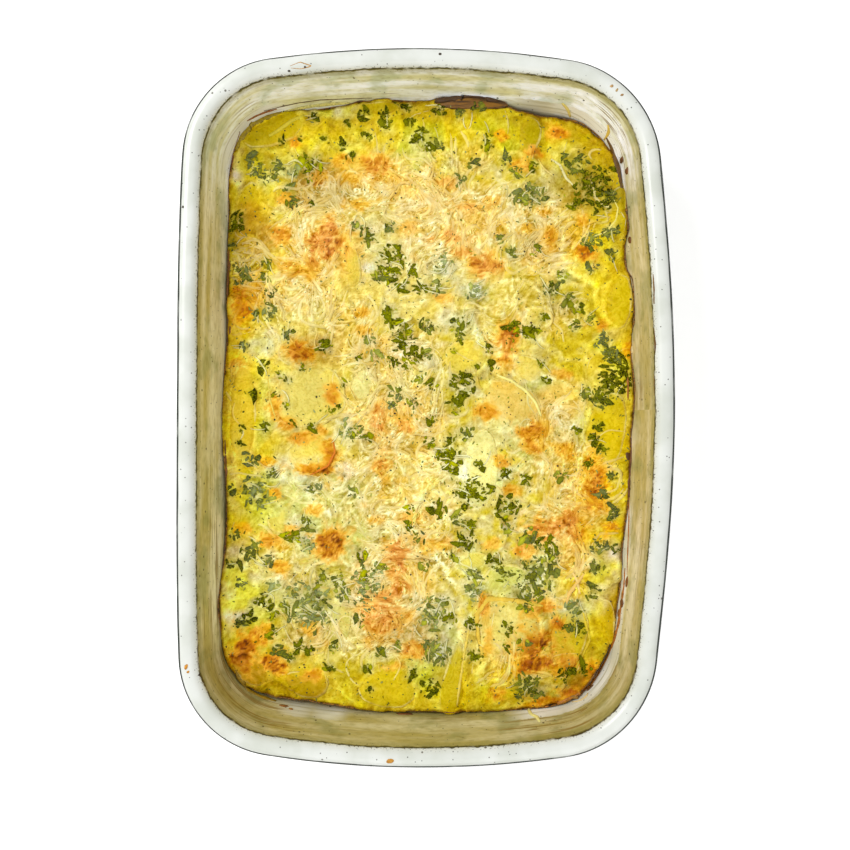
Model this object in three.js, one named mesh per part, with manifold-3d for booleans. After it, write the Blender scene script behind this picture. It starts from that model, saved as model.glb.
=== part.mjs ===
// A potato gratin baked and served in its own oblong stoneware dish.
// Millimetres, +Z up, +Y along the dish. The origin is the middle of the flat base.

import * as THREE from 'three';
import { mergeVertices } from 'three/addons/utils/BufferGeometryUtils.js';
import Module from 'manifold-3d';

const wasm = await Module();
wasm.setup();

// Dish: the outline of its rim, made of shallow side arcs and tight corner arcs.
const DISH_HALF_WIDTH = 118;
const DISH_HALF_LENGTH = 170;
const DISH_HEIGHT = 62;
const LONG_SIDE_RADIUS = 1530;
const SHORT_SIDE_RADIUS = 483;
const CORNER_RADIUS = 50;
const LONG_SIDE_STEPS = 4;
const CORNER_STEPS = 6;
const SHORT_SIDE_STEPS = 3;

// The dish bows to one side: its ends lie to the left of its middle, so its left side is nearly straight.
const SWAY = { swing: 1.85, halfWave: 165 };

// Dish section, as pairs of inset from the rim's outline and height.
const FOOT_INSET = 21;
const OUTER_WALL = [[FOOT_INSET, 0], [17.8, 1.4], [16.2, 5], [9.4, 34], [5.2, 50]];
const ROLLED_RIM = [
  [3.2, 52.6], [0.9, 54.4], [0, 57], [0.8, 59.8], [2.9, 61.6], [5, DISH_HEIGHT], [7.4, 61.5], [9.3, 59.8],
];
const RIM_INNER_EDGE = [9.9, 57.6];
const INNER_WALL = [[10.6, 54], [12.6, 44], [15.3, 34], [17, 25], [19.6, 15], [24.5, 9]];
const FLOOR_EDGE = [33, 6.5];
const WALL_INSET_AT_TOP = 15.3;

// Gratin: the mean height of its top, and how that runs across the dish.
const TOP_HEIGHT = 33.6;
const TOP_RISE_TO_RIGHT = 0.014;
const WALL_CLEARANCE = 0.45;
const CLEARANCE_LIFT = 0.4;
const SHRINK_STARTS_AT = 8;
const BLOCK_BOTTOM = 2;
const GRID_STEP = 8;
const CREAM_WAVE = { height: 0.8, lengths: [13, 17], phases: [0.8, 0.3] };
const EDGE_DROOP = 2.4;
const EDGE_DROOP_WIDTH = 7;

// Hidden slices under the cheese, which make its surface step and roll.
const HIDDEN_SLICE_REACH = { x: 100, y: 150 };
const HIDDEN_SLICE_SPACING = 31;
const HIDDEN_SLICE_RADIUS = [18.75, 28.75];
const HIDDEN_SLICE_EDGE = [0.72, 1.05];
const HIDDEN_SLICE_TILT = 0.12;
const HIDDEN_SLICE_LIFT = [-0.77, 1.43];
const HIDDEN_SLICE_JITTER = 8;
const SURFACE_BETWEEN_SLICES = -1.2;

// Potato slices that show.
const SLICE_THICKNESS = 3.2;
const SLICE_EDGE_ROUND = 0.9;
const SLICE_SIDES = 12;
const SLICE_SHOWS_BY = 0.7;
const SLICE_CROWN = { share: 0.55, drop: 0.15 };
const OUTLINE_UNEVENNESS = [0.05, 0.045];
const PIECE_GAP = 0.3;
const ONION_THICKNESS = 1.8;

// Parsley and cheese that stand on the surface.
const FLAKE_SIDES = 4;
const FLAKE_PROUD = 0.9;
const FLAKE_SUNK = 1.1;
const FLAKE_TIP = 0.3;
const FLAKE_TOP_SHARE = 0.8;
const FLAKE_RADIUS_SHARE = [0.65, 1.15];
const FLAKE_MARGINS = { wall: 0.6, sliceEdge: 0.8, upperSlice: 1.4 };
const STRAND_COUNT = 15;
const STRAND_WIDTH = 1.5;
const STRAND_PROUD = 0.7;
const STRAND_SUNK = 1.2;
const STRAND_STEPS = 3;
const STRAND_STEP_LENGTH = [4.4, 6.4];
const STRAND_BEND = 1.2;
const STRAND_TOP_SHARE = 0.6;
const STRAND_MARGIN = 1.6;
const STRAND_WALL_MARGIN = 7;
const STRAND_TRIES = 900;
const TOPPING_MARGIN = { share: 1.25, least: 1.6 };
const INSIDE_SHARE = 0.9;

// Seeds of the random draws.
const SEEDS = { hiddenSlices: 11, slices: 101, onion: 77, flakes: 29, strands: 53 };
const SEED_RANGE = 1e6;
const MERGE_TOLERANCE = 1e-4;

// Places are read from a view straight down on the food, 850 pixels square.
const VIEW_MIDDLE = 425;
const MM_PER_PIXEL = 0.5035;
const VIEW_OFFSET_X = -0.4;
const VIEW_OFFSET_Y = -8.4;

const seenX = (px) => (px - VIEW_MIDDLE) * MM_PER_PIXEL + VIEW_OFFSET_X;
const seenY = (py) => (VIEW_MIDDLE - py) * MM_PER_PIXEL + VIEW_OFFSET_Y;

// A small seeded generator, so that every build gives the same dish.
const RANDOM_MULTIPLIER = 1664525;
const RANDOM_INCREMENT = 1013904223;
const RANDOM_STATES = 2 ** 32;

function makeRandom(seed) {
  let state = seed;
  return () => {
    state = (Math.imul(state, RANDOM_MULTIPLIER) + RANDOM_INCREMENT) >>> 0;
    return state / RANDOM_STATES;
  };
}

const clamp01 = (t) => Math.min(1, Math.max(0, t));

function smooth(edge0, edge1, value) {
  const t = clamp01((value - edge0) / (edge1 - edge0));
  return t * t * (3 - 2 * t);
}

// The corner arc's centre, where it runs smoothly into both side arcs.
function findCornerCentre() {
  const longCentre = new THREE.Vector2(DISH_HALF_WIDTH - LONG_SIDE_RADIUS, 0);
  const shortCentre = new THREE.Vector2(0, DISH_HALF_LENGTH - SHORT_SIDE_RADIUS);
  const fromLong = LONG_SIDE_RADIUS - CORNER_RADIUS;
  const fromShort = SHORT_SIDE_RADIUS - CORNER_RADIUS;
  const between = shortCentre.clone().sub(longCentre);
  const distance = between.length();
  const along = (fromLong ** 2 - fromShort ** 2 + distance ** 2) / (2 * distance);
  const aside = Math.sqrt(fromLong ** 2 - along ** 2);
  const unit = between.divideScalar(distance);
  const foot = longCentre.clone().addScaledVector(unit, along);
  return foot.add(new THREE.Vector2(-unit.y, unit.x).multiplyScalar(aside));
}

const CORNER_CENTRE = findCornerCentre();
const LONG_ARC = { x: DISH_HALF_WIDTH - LONG_SIDE_RADIUS, y: 0, radius: LONG_SIDE_RADIUS };
const SHORT_ARC = { x: 0, y: DISH_HALF_LENGTH - SHORT_SIDE_RADIUS, radius: SHORT_SIDE_RADIUS };
const CORNER_ARC = { x: CORNER_CENTRE.x, y: CORNER_CENTRE.y, radius: CORNER_RADIUS };
const LONG_ARC_END = Math.atan2(CORNER_ARC.y - LONG_ARC.y, CORNER_ARC.x - LONG_ARC.x);
const SHORT_ARC_START = Math.atan2(CORNER_ARC.y - SHORT_ARC.y, CORNER_ARC.x - SHORT_ARC.x);

// Points along one arc of the outline, moved in by the inset.
function arcPoints(arc, from, to, steps, inset) {
  const points = [];
  for (let i = 0; i < steps; i += 1) {
    const angle = from + ((to - from) * i) / steps;
    const radius = arc.radius - inset;
    points.push([arc.x + radius * Math.cos(angle), arc.y + radius * Math.sin(angle)]);
  }
  return points;
}

function sway(y) {
  return SWAY.swing * (Math.cos((Math.PI * y) / SWAY.halfWave) - 1);
}

// One quarter of the dish's outline at an inset, then the whole loop by mirroring and bowing it.
function dishOutline(inset) {
  const quarter = [
    ...arcPoints(LONG_ARC, 0, LONG_ARC_END, LONG_SIDE_STEPS, inset),
    ...arcPoints(CORNER_ARC, LONG_ARC_END, SHORT_ARC_START, CORNER_STEPS, inset),
    ...arcPoints(SHORT_ARC, SHORT_ARC_START, Math.PI / 2, SHORT_SIDE_STEPS, inset),
    [0, DISH_HALF_LENGTH - inset],
  ];
  const forward = quarter.slice(0, -1);
  const backward = quarter.slice(1).reverse();
  const loop = [
    ...forward,
    ...backward.map(([x, y]) => [-x, y]),
    ...forward.map(([x, y]) => [-x, -y]),
    ...backward.map(([x, y]) => [x, -y]),
  ];
  return loop.map(([x, y]) => [x + sway(y), y]);
}

// A ring is a closed list of 3-D points. Rings of one length make a skin, closed by a fan at both ends.
const levelRing = (points, z) => points.map(([x, y]) => [x, y, z]);

function meanPoint(ring) {
  const sum = [0, 0, 0];
  for (const point of ring) {
    for (let k = 0; k < 3; k += 1) sum[k] += point[k] / ring.length;
  }
  return sum;
}

function loftGeometry(rings, firstCentre, lastCentre) {
  const centres = [firstCentre ?? meanPoint(rings[0]), lastCentre ?? meanPoint(rings.at(-1))];
  const positions = [...rings.flat(), ...centres];
  const count = rings[0].length;
  const firstIndex = positions.length - 2;
  const lastIndex = positions.length - 1;
  const lastRing = (rings.length - 1) * count;
  const index = [];
  for (let i = 0; i < count; i += 1) {
    const next = (i + 1) % count;
    index.push(firstIndex, next, i);
    index.push(lastIndex, lastRing + i, lastRing + next);
    for (let r = 0; r < rings.length - 1; r += 1) {
      const low = r * count;
      const high = low + count;
      index.push(low + i, low + next, high + next);
      index.push(low + i, high + next, high + i);
    }
  }
  return indexedGeometry(positions, index);
}

function indexedGeometry(positions, index) {
  const geometry = new THREE.BufferGeometry();
  geometry.setAttribute('position', new THREE.Float32BufferAttribute(positions.flat(), 3));
  geometry.setIndex(index);
  return geometry;
}

// To and from the solids that can be joined and cut.
function toSolid(geometry) {
  const merged = mergeVertices(geometry, MERGE_TOLERANCE);
  return new wasm.Manifold(new wasm.Mesh({
    numProp: 3,
    vertProperties: new Float32Array(merged.getAttribute('position').array),
    triVerts: new Uint32Array(merged.getIndex().array),
  }));
}

function toGeometry(solid) {
  const mesh = solid.getMesh();
  const geometry = new THREE.BufferGeometry();
  geometry.setAttribute('position', new THREE.BufferAttribute(new Float32Array(mesh.vertProperties), 3));
  geometry.setIndex(new THREE.BufferAttribute(new Uint32Array(mesh.triVerts), 1));
  return geometry;
}

// Cutting can leave crumbs beside the piece itself, which are dropped.
function largestBody(solid) {
  const bodies = solid.decompose();
  return bodies.reduce((best, body) => (body.volume() > best.volume() ? body : best));
}

function dishGeometry() {
  const section = [...OUTER_WALL, ...ROLLED_RIM, RIM_INNER_EDGE, ...INNER_WALL, FLOOR_EDGE];
  const rings = section.map(([inset, z]) => levelRing(dishOutline(inset), z));
  return loftGeometry(rings, [0, 0, 0], [0, 0, FLOOR_EDGE[1]]);
}

// Where the bake has shrunk back from the wall: place, reach along the wall, and depth.
const PULLED_BACK = [
  { px: 604, py: 672, reach: 24, depth: 5 },
  { px: 315, py: 716, reach: 34, depth: 2.6 },
  { px: 430, py: 722, reach: 26, depth: 1.8 },
  { px: 222, py: 300, reach: 24, depth: 1.4 },
  { px: 222, py: 500, reach: 22, depth: 1.6 },
  { px: 530, py: 96, reach: 22, depth: 2.2 },
];

function pulledBack(x, y) {
  let depth = 0;
  for (const spot of PULLED_BACK) {
    const distance = Math.hypot(x - seenX(spot.px), y - seenY(spot.py));
    depth = Math.max(depth, spot.depth * Math.exp(-((distance / spot.reach) ** 2)));
  }
  return depth;
}

// The space that the bake may fill: the dish's inside with a clearance, less where it shrank back.
// Every other level of the wall is enough for it, as chords of a hollow stay inside it. The wall
// slopes, so moving it in also lifts its levels a little.
function bakeSpace(clearance, shrinks) {
  const wall = INNER_WALL.filter((level, i) => i % 2 === 0).reverse();
  const low = levelRing(dishOutline(FLOOR_EDGE[0] + clearance), FLOOR_EDGE[1] + clearance);
  const rings = wall.map(([inset, z]) => {
    const share = shrinks ? smooth(SHRINK_STARTS_AT, TOP_HEIGHT, z) : 0;
    return dishOutline(inset + clearance).map(([x, y]) => {
      const back = share * pulledBack(x, y);
      const length = Math.hypot(x, y);
      return [x * (1 - back / length), y * (1 - back / length), z + clearance * CLEARANCE_LIFT];
    });
  });
  return toSolid(loftGeometry([low, ...rings]));
}

// How far a place is inside the bake's edge, near enough for droop and margins.
function depthInside(x, y) {
  const ax = Math.abs(x - sway(y));
  const ay = Math.abs(y);
  const fromLong = LONG_ARC.radius - Math.hypot(ax - LONG_ARC.x, ay);
  const fromShort = SHORT_ARC.radius - Math.hypot(ax, ay - SHORT_ARC.y);
  const inCorner = ax > CORNER_ARC.x && ay > CORNER_ARC.y;
  const fromCorner = CORNER_RADIUS - Math.hypot(ax - CORNER_ARC.x, ay - CORNER_ARC.y);
  const fromRim = inCorner ? fromCorner : Math.min(fromLong, fromShort);
  return fromRim - WALL_INSET_AT_TOP - pulledBack(x, y);
}

// Hidden slices lie in loose rows, each tipped its own way.
function makeHiddenSlices() {
  const random = makeRandom(SEEDS.hiddenSlices);
  const within = (range) => THREE.MathUtils.lerp(...range, random());
  const slices = [];
  const { x: reachX, y: reachY } = HIDDEN_SLICE_REACH;
  for (let y = -reachY; y <= reachY; y += HIDDEN_SLICE_SPACING) {
    for (let x = -reachX; x <= reachX; x += HIDDEN_SLICE_SPACING) {
      slices.push({
        x: x + HIDDEN_SLICE_JITTER * (random() * 2 - 1),
        y: y + HIDDEN_SLICE_JITTER * (random() * 2 - 1),
        radius: within(HIDDEN_SLICE_RADIUS),
        lift: within(HIDDEN_SLICE_LIFT),
        slopeX: HIDDEN_SLICE_TILT * (random() * 2 - 1),
        slopeY: HIDDEN_SLICE_TILT * (random() * 2 - 1),
      });
    }
  }
  return slices;
}

const HIDDEN_SLICES = makeHiddenSlices();

function hiddenSliceHeight(x, y) {
  let height = SURFACE_BETWEEN_SLICES;
  for (const slice of HIDDEN_SLICES) {
    const dx = x - slice.x;
    const dy = y - slice.y;
    const share = 1 - smooth(...HIDDEN_SLICE_EDGE, Math.hypot(dx, dy) / slice.radius);
    const plane = slice.lift + slice.slopeX * dx + slice.slopeY * dy;
    height = Math.max(height, THREE.MathUtils.lerp(SURFACE_BETWEEN_SLICES, plane, share));
  }
  return height;
}

// Crests that the oven browned, and dips between them: place, reach and height.
const CRESTS = [
  { px: 372, py: 168, reach: 10, height: 2 },
  { px: 325, py: 235, reach: 13, height: 2.4 },
  { px: 283, py: 240, reach: 9, height: 1.8 },
  { px: 238, py: 306, reach: 10, height: 2 },
  { px: 300, py: 350, reach: 8, height: 1.6 },
  { px: 275, py: 412, reach: 8, height: 1.2 },
  { px: 505, py: 340, reach: 9, height: 1.8 },
  { px: 482, py: 264, reach: 8, height: 1.6 },
  { px: 452, py: 236, reach: 10, height: 1.4 },
  { px: 580, py: 252, reach: 9, height: 1.6 },
  { px: 532, py: 432, reach: 9, height: 1.4 },
  { px: 594, py: 482, reach: 9, height: 1.8 },
  { px: 333, py: 547, reach: 9, height: 2.2 },
  { px: 383, py: 616, reach: 14, height: 2.6 },
  { px: 397, py: 556, reach: 9, height: 1.6 },
  { px: 275, py: 664, reach: 9, height: 2 },
  { px: 247, py: 655, reach: 9, height: 1.4 },
  { px: 545, py: 532, reach: 13, height: 2.2 },
  { px: 538, py: 652, reach: 9, height: 1.4 },
  { px: 405, py: 372, reach: 12, height: 1.2 },
  { px: 405, py: 505, reach: 14, height: 1.6 },
  { px: 575, py: 150, reach: 12, height: 1.8 },
  { px: 430, py: 160, reach: 12, height: 1.4 },
  { px: 447, py: 420, reach: 9, height: -1.6 },
  { px: 352, py: 320, reach: 10, height: -1.6 },
  { px: 560, py: 345, reach: 11, height: -1.4 },
  { px: 440, py: 575, reach: 10, height: -1.8 },
  { px: 300, py: 590, reach: 10, height: -1.2 },
  { px: 245, py: 575, reach: 10, height: -1.2 },
  { px: 415, py: 205, reach: 10, height: -1.2 },
];

function crestHeight(x, y) {
  let height = 0;
  for (const crest of CRESTS) {
    const distance = Math.hypot(x - seenX(crest.px), y - seenY(crest.py));
    height += crest.height * Math.exp(-((distance / crest.reach) ** 2));
  }
  return height;
}

// Where the bake climbs the wall: place, reach along the wall and inwards, and height.
const CLIMBS = [
  { px: 628, py: 212, reach: 22, inwards: 13, height: 9 },
  { px: 632, py: 300, reach: 20, inwards: 12, height: 5.5 },
  { px: 634, py: 400, reach: 26, inwards: 12, height: 6.5 },
  { px: 628, py: 500, reach: 20, inwards: 10, height: 3 },
  { px: 624, py: 575, reach: 14, inwards: 9, height: 3.5 },
  { px: 221, py: 620, reach: 26, inwards: 11, height: 8 },
  { px: 468, py: 98, reach: 24, inwards: 9, height: 6 },
  { px: 370, py: 98, reach: 28, inwards: 9, height: 3.6 },
];

function climbHeight(x, y) {
  const inside = Math.max(0, depthInside(x, y));
  let height = 0;
  for (const climb of CLIMBS) {
    const along = Math.hypot(x - seenX(climb.px), y - seenY(climb.py)) / climb.reach;
    height = Math.max(height, climb.height * Math.exp(-(along ** 2) - (inside / climb.inwards) ** 2));
  }
  return height;
}

function creamWave(x, y) {
  const { height, lengths, phases } = CREAM_WAVE;
  return height * Math.sin(x / lengths[0] + phases[0]) * Math.sin(y / lengths[1] + phases[1]);
}

function surfaceHeight(x, y) {
  const droop = EDGE_DROOP * (1 - smooth(0, EDGE_DROOP_WIDTH, depthInside(x, y)));
  const level = TOP_HEIGHT + TOP_RISE_TO_RIGHT * x + creamWave(x, y) - droop;
  return level + hiddenSliceHeight(x, y) + crestHeight(x, y) + climbHeight(x, y);
}

// The surface on its grid, so that what lies on it meets its flat facets.
const GRID_COLUMNS = Math.ceil((2 * DISH_HALF_WIDTH) / GRID_STEP);
const GRID_ROWS = Math.ceil((2 * DISH_HALF_LENGTH) / GRID_STEP);
const gridX = (i) => (i - GRID_COLUMNS / 2) * GRID_STEP;
const gridY = (j) => (j - GRID_ROWS / 2) * GRID_STEP;

function facetHeight(x, y) {
  const u = x / GRID_STEP + GRID_COLUMNS / 2;
  const v = y / GRID_STEP + GRID_ROWS / 2;
  const i = Math.floor(u);
  const j = Math.floor(v);
  const fx = u - i;
  const fy = v - j;
  const corner = surfaceHeight(gridX(i), gridY(j));
  const opposite = surfaceHeight(gridX(i + 1), gridY(j + 1));
  if (fx > fy) {
    const side = surfaceHeight(gridX(i + 1), gridY(j));
    return corner + (side - corner) * fx + (opposite - side) * fy;
  }
  const side = surfaceHeight(gridX(i), gridY(j + 1));
  return corner + (side - corner) * fy + (opposite - side) * fx;
}

function surfaceBlock() {
  const positions = [];
  const index = [];
  const across = GRID_COLUMNS + 1;
  const layer = across * (GRID_ROWS + 1);
  const at = (i, j) => j * across + i;
  for (const bottom of [false, true]) {
    for (let j = 0; j <= GRID_ROWS; j += 1) {
      for (let i = 0; i <= GRID_COLUMNS; i += 1) {
        const z = bottom ? BLOCK_BOTTOM : surfaceHeight(gridX(i), gridY(j));
        positions.push([gridX(i), gridY(j), z]);
      }
    }
  }
  for (let j = 0; j < GRID_ROWS; j += 1) {
    for (let i = 0; i < GRID_COLUMNS; i += 1) {
      const [a, b, c, d] = [at(i, j), at(i + 1, j), at(i + 1, j + 1), at(i, j + 1)];
      index.push(a, b, c, a, c, d);
      index.push(layer + a, layer + c, layer + b, layer + a, layer + d, layer + c);
    }
  }
  const wall = (a, b) => index.push(a, layer + a, layer + b, a, layer + b, b);
  for (let i = 0; i < GRID_COLUMNS; i += 1) {
    wall(at(i, 0), at(i + 1, 0));
    wall(at(i + 1, GRID_ROWS), at(i, GRID_ROWS));
  }
  for (let j = 0; j < GRID_ROWS; j += 1) {
    wall(at(GRID_COLUMNS, j), at(GRID_COLUMNS, j + 1));
    wall(at(0, j + 1), at(0, j));
  }
  return toSolid(indexedGeometry(positions, index));
}

// Slices that show, topmost first. Each is an oval: its middle, half sizes along and across its
// turn in degrees, how high its middle stands above the bake, and its slope to the right and up.
const SLICES = [
  { name: 'slice_round_left', px: 310, py: 395, half: [17, 17], turn: 12, lift: 1.6, slope: [-0.03, 0.06] },
  {
    name: 'slice_round_right', px: 512, py: 627, half: [16.5, 15.5], turn: -8,
    lift: 1.6, slope: [0.08, 0.04],
  },
  {
    name: 'slice_corner_upper_left', px: 271, py: 128, half: [16.5, 10.5], turn: 24,
    lift: 1.4, slope: [-0.05, 0.1],
  },
  { name: 'slice_bottom_bright', px: 390, py: 686, half: [15, 12], turn: 0, lift: 1, slope: [0.02, 0.1] },
  { name: 'slice_bottom_fold', px: 457, py: 671, half: [22, 6], turn: 82, lift: 2.2, slope: [0.05, 0.08] },
  { name: 'slice_arc_middle', px: 509, py: 404, half: [16, 13], turn: -25, lift: 1.8, slope: [0.06, 0.12] },
  { name: 'slice_arc_behind', px: 527, py: 369, half: [10.5, 8], turn: -20, lift: 0.9, slope: [0, 0.06] },
  { name: 'slice_yellow_middle', px: 467, py: 358, half: [11.5, 10.5], turn: 10, lift: 1, slope: [-0.06, 0] },
  { name: 'slice_pale_middle', px: 480, py: 469, half: [20, 9.5], turn: 84, lift: 1, slope: [-0.08, 0.02] },
  { name: 'slice_browned_left', px: 312, py: 451, half: [12, 12], turn: 0, lift: 1.2, slope: [0.04, -0.12] },
  { name: 'slice_left_edge', px: 243, py: 415, half: [25, 8.2], turn: 90, lift: 1.2, slope: [-0.08, 0] },
  { name: 'slice_right_edge', px: 603, py: 430, half: [19.5, 11.5], turn: 82, lift: 1.2, slope: [0.2, 0.02] },
  { name: 'slice_right_bright', px: 613, py: 302, half: [14, 7.8], turn: 88, lift: 1.2, slope: [0.25, 0] },
  { name: 'slice_right_leaning', px: 616, py: 213, half: [12.5, 6.4], turn: 94, lift: 1.6, slope: [0.55, 0] },
  { name: 'slice_right_upper', px: 595, py: 211, half: [9, 7.4], turn: 0, lift: 0.9, slope: [0.06, 0.03] },
  { name: 'slice_green_wedge', px: 525, py: 138, half: [10.5, 7], turn: 78, lift: 1.2, slope: [-0.1, 0.05] },
  { name: 'slice_top_fold', px: 374, py: 112, half: [13, 4.4], turn: 3, lift: 1.6, slope: [0, 0.4] },
  { name: 'slice_left_upper', px: 248, py: 199, half: [8.2, 6.8], turn: 60, lift: 0.9, slope: [-0.06, 0] },
  { name: 'slice_translucent_bar', px: 351, py: 267, half: [12, 5], turn: 96, lift: 1, slope: [0.05, 0] },
  {
    name: 'slice_translucent_small', px: 362, py: 385, half: [7.6, 6], turn: 80,
    lift: 0.8, slope: [0, -0.05],
  },
  { name: 'slice_lower_left', px: 283, py: 517, half: [8.8, 7.2], turn: 70, lift: 0.9, slope: [-0.06, 0.04] },
  { name: 'slice_pale_lower', px: 340, py: 622, half: [13.6, 7.2], turn: 82, lift: 1, slope: [-0.08, 0] },
  { name: 'slice_lower_middle', px: 505, py: 577, half: [12.6, 8], turn: 8, lift: 1, slope: [0, 0.1] },
  { name: 'slice_lower_small', px: 473, py: 561, half: [9, 6], turn: 15, lift: 0.8, slope: [-0.04, 0.06] },
  { name: 'slice_lower_right', px: 568, py: 634, half: [17, 11], turn: 78, lift: 1.2, slope: [0.06, -0.03] },
  { name: 'slice_lower_right_edge', px: 607, py: 618, half: [12, 5], turn: 98, lift: 1.2, slope: [0.12, 0] },
  { name: 'slice_bottom_left', px: 308, py: 681, half: [12, 9], turn: -8, lift: 1, slope: [0.05, -0.04] },
  {
    name: 'slice_corner_lower_left', px: 254, py: 668, half: [11, 8], turn: -40,
    lift: 0.8, slope: [-0.02, -0.05],
  },
];

// Slices squarer than an oval (power above 2), or narrower towards their far end (taper below 0).
const PLAIN_OVAL = { power: 2, taper: 0 };
const SLICE_SHAPES = {
  slice_round_left: { power: 2.7 },
  slice_round_right: { power: 3 },
  slice_bottom_fold: { taper: -0.7 },
};
const LEAST_TAPER = 0.1;

// The strip of dark caramelised onion along the top wall.
const ONION_STRIP = {
  name: 'onion_strip', px: 468, py: 105, half: [19, 4.2], turn: -2, lift: 1.6, slope: [0, 0.75],
};

// A piece's place, uneven outline and top surface, worked out once.
function preparePiece(row, seed, thickness) {
  const random = makeRandom(seed);
  return {
    ...PLAIN_OVAL,
    ...SLICE_SHAPES[row.name],
    ...row,
    thickness,
    x: seenX(row.px),
    y: seenY(row.py),
    angle: THREE.MathUtils.degToRad(row.turn),
    phases: [random() * 2 * Math.PI, random() * 2 * Math.PI],
    middle: surfaceHeight(seenX(row.px), seenY(row.py)),
  };
}

const SLICE_PIECES = SLICES.map((row, i) => preparePiece(row, SEEDS.slices + i, SLICE_THICKNESS));
const ONION_PIECE = preparePiece(ONION_STRIP, SEEDS.onion, ONION_THICKNESS);
const TOP_PIECES = [ONION_PIECE, ...SLICE_PIECES];

// A point of the piece's outline, drawn in by the inset, or grown where it is negative.
function outlinePoint(piece, side, inset) {
  const t = (2 * Math.PI * side) / SLICE_SIDES;
  const twoLobed = OUTLINE_UNEVENNESS[0] * Math.sin(2 * t + piece.phases[0]);
  const threeLobed = OUTLINE_UNEVENNESS[1] * Math.sin(3 * t + piece.phases[1]);
  const uneven = 1 + twoLobed + threeLobed;
  const { power, taper } = piece;
  const fullness = (Math.abs(Math.cos(t)) ** power + Math.abs(Math.sin(t)) ** power) ** (-1 / power);
  const shareAlong = fullness * Math.cos(t);
  const shareAcross = fullness * Math.sin(t) * (1 + taper * shareAlong);
  const along = (piece.half[0] * uneven - inset) * shareAlong;
  const across = (piece.half[1] * uneven - inset) * shareAcross;
  const cos = Math.cos(piece.angle);
  const sin = Math.sin(piece.angle);
  return [piece.x + along * cos - across * sin, piece.y + along * sin + across * cos];
}

function pieceOutline(piece, inset) {
  return Array.from({ length: SLICE_SIDES }, (unused, side) => outlinePoint(piece, side, inset));
}

function pieceTop(piece, x, y) {
  const plane = piece.middle + piece.lift + piece.slope[0] * (x - piece.x) + piece.slope[1] * (y - piece.y);
  return Math.max(plane, surfaceHeight(x, y) + SLICE_SHOWS_BY);
}

function pieceRing(piece, inset, drop) {
  return pieceOutline(piece, inset).map(([x, y]) => [x, y, pieceTop(piece, x, y) - drop]);
}

// The slice's own body: a flat underside, a square edge with its upper corner worn round.
function pieceBody(piece) {
  const shortHalf = Math.min(...piece.half);
  const { thickness } = piece;
  const rings = [
    pieceRing(piece, 0, thickness),
    pieceRing(piece, 0, SLICE_EDGE_ROUND),
    pieceRing(piece, SLICE_EDGE_ROUND, SLICE_CROWN.drop),
    pieceRing(piece, shortHalf * SLICE_CROWN.share, 0),
  ];
  const top = pieceTop(piece, piece.x, piece.y);
  return toSolid(loftGeometry(rings, [piece.x, piece.y, top - thickness], [piece.x, piece.y, top]));
}

// The pocket that the bake leaves for a piece, open upwards.
function piecePocket(piece) {
  const drop = piece.thickness + PIECE_GAP;
  const low = pieceRing(piece, -PIECE_GAP, drop);
  const high = levelRing(pieceOutline(piece, -PIECE_GAP), DISH_HEIGHT);
  const floor = [piece.x, piece.y, pieceTop(piece, piece.x, piece.y) - drop];
  return toSolid(loftGeometry([low, high], floor));
}

// The whole column under and over a piece, which the ones beneath it stay out of.
function pieceColumn(piece) {
  const outline = pieceOutline(piece, -PIECE_GAP);
  return toSolid(loftGeometry([levelRing(outline, 0), levelRing(outline, DISH_HEIGHT)]));
}

// Parsley that stands out most: place and size across.
const PARSLEY = [
  [308, 168, 6.5], [232, 222, 5], [240, 272, 6], [362, 115, 3.8], [385, 127, 4], [408, 123, 3.6],
  [420, 136, 4], [345, 150, 3.6], [321, 139, 3.4], [250, 166, 4], [291, 204, 4], [275, 282, 3.6],
  [366, 232, 4], [391, 262, 6], [406, 279, 4.4], [422, 287, 3.6], [437, 112, 4], [458, 118, 3.4],
  [428, 148, 4], [487, 144, 4], [468, 166, 3.8], [573, 164, 6], [591, 186, 6.5], [530, 194, 6],
  [606, 234, 4.2], [588, 243, 4.4], [536, 250, 3.6], [440, 265, 4], [550, 290, 3.8], [590, 269, 3.8],
  [475, 292, 3.8], [262, 314, 4], [243, 345, 3.6], [323, 347, 4.6], [388, 314, 4.4], [404, 344, 6],
  [421, 355, 4.6], [393, 364, 3.8], [361, 436, 4.6], [395, 401, 4.2], [259, 478, 4], [234, 490, 3.6],
  [353, 492, 3.8], [428, 442, 3.8], [312, 491, 4], [515, 331, 4.2], [590, 318, 3.8], [572, 304, 4.2],
  [541, 318, 3.6], [614, 365, 6], [605, 384, 4.8], [575, 428, 3.6], [562, 475, 3.8], [441, 440, 3.8],
  [449, 455, 5.2], [508, 507, 5.6], [526, 478, 3.8], [603, 491, 4.2], [255, 548, 4.8], [238, 566, 3.8],
  [310, 528, 4], [322, 577, 4], [300, 608, 6.2], [365, 579, 3.4], [265, 604, 4.6], [246, 618, 4],
  [275, 634, 4.4], [292, 648, 4.4], [345, 665, 3.8], [415, 655, 4], [432, 687, 4.4], [410, 528, 4],
  [428, 566, 3.8], [437, 508, 4], [458, 520, 4], [469, 541, 4], [435, 612, 6.2], [439, 652, 4.8],
  [536, 565, 6.4], [537, 590, 4.8], [549, 551, 4], [472, 665, 3.8], [529, 686, 5.6], [584, 670, 4],
  [597, 565, 4.2], [613, 511, 3.8], [601, 545, 4], [545, 440, 3.8], [345, 340, 3.6],
];

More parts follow.
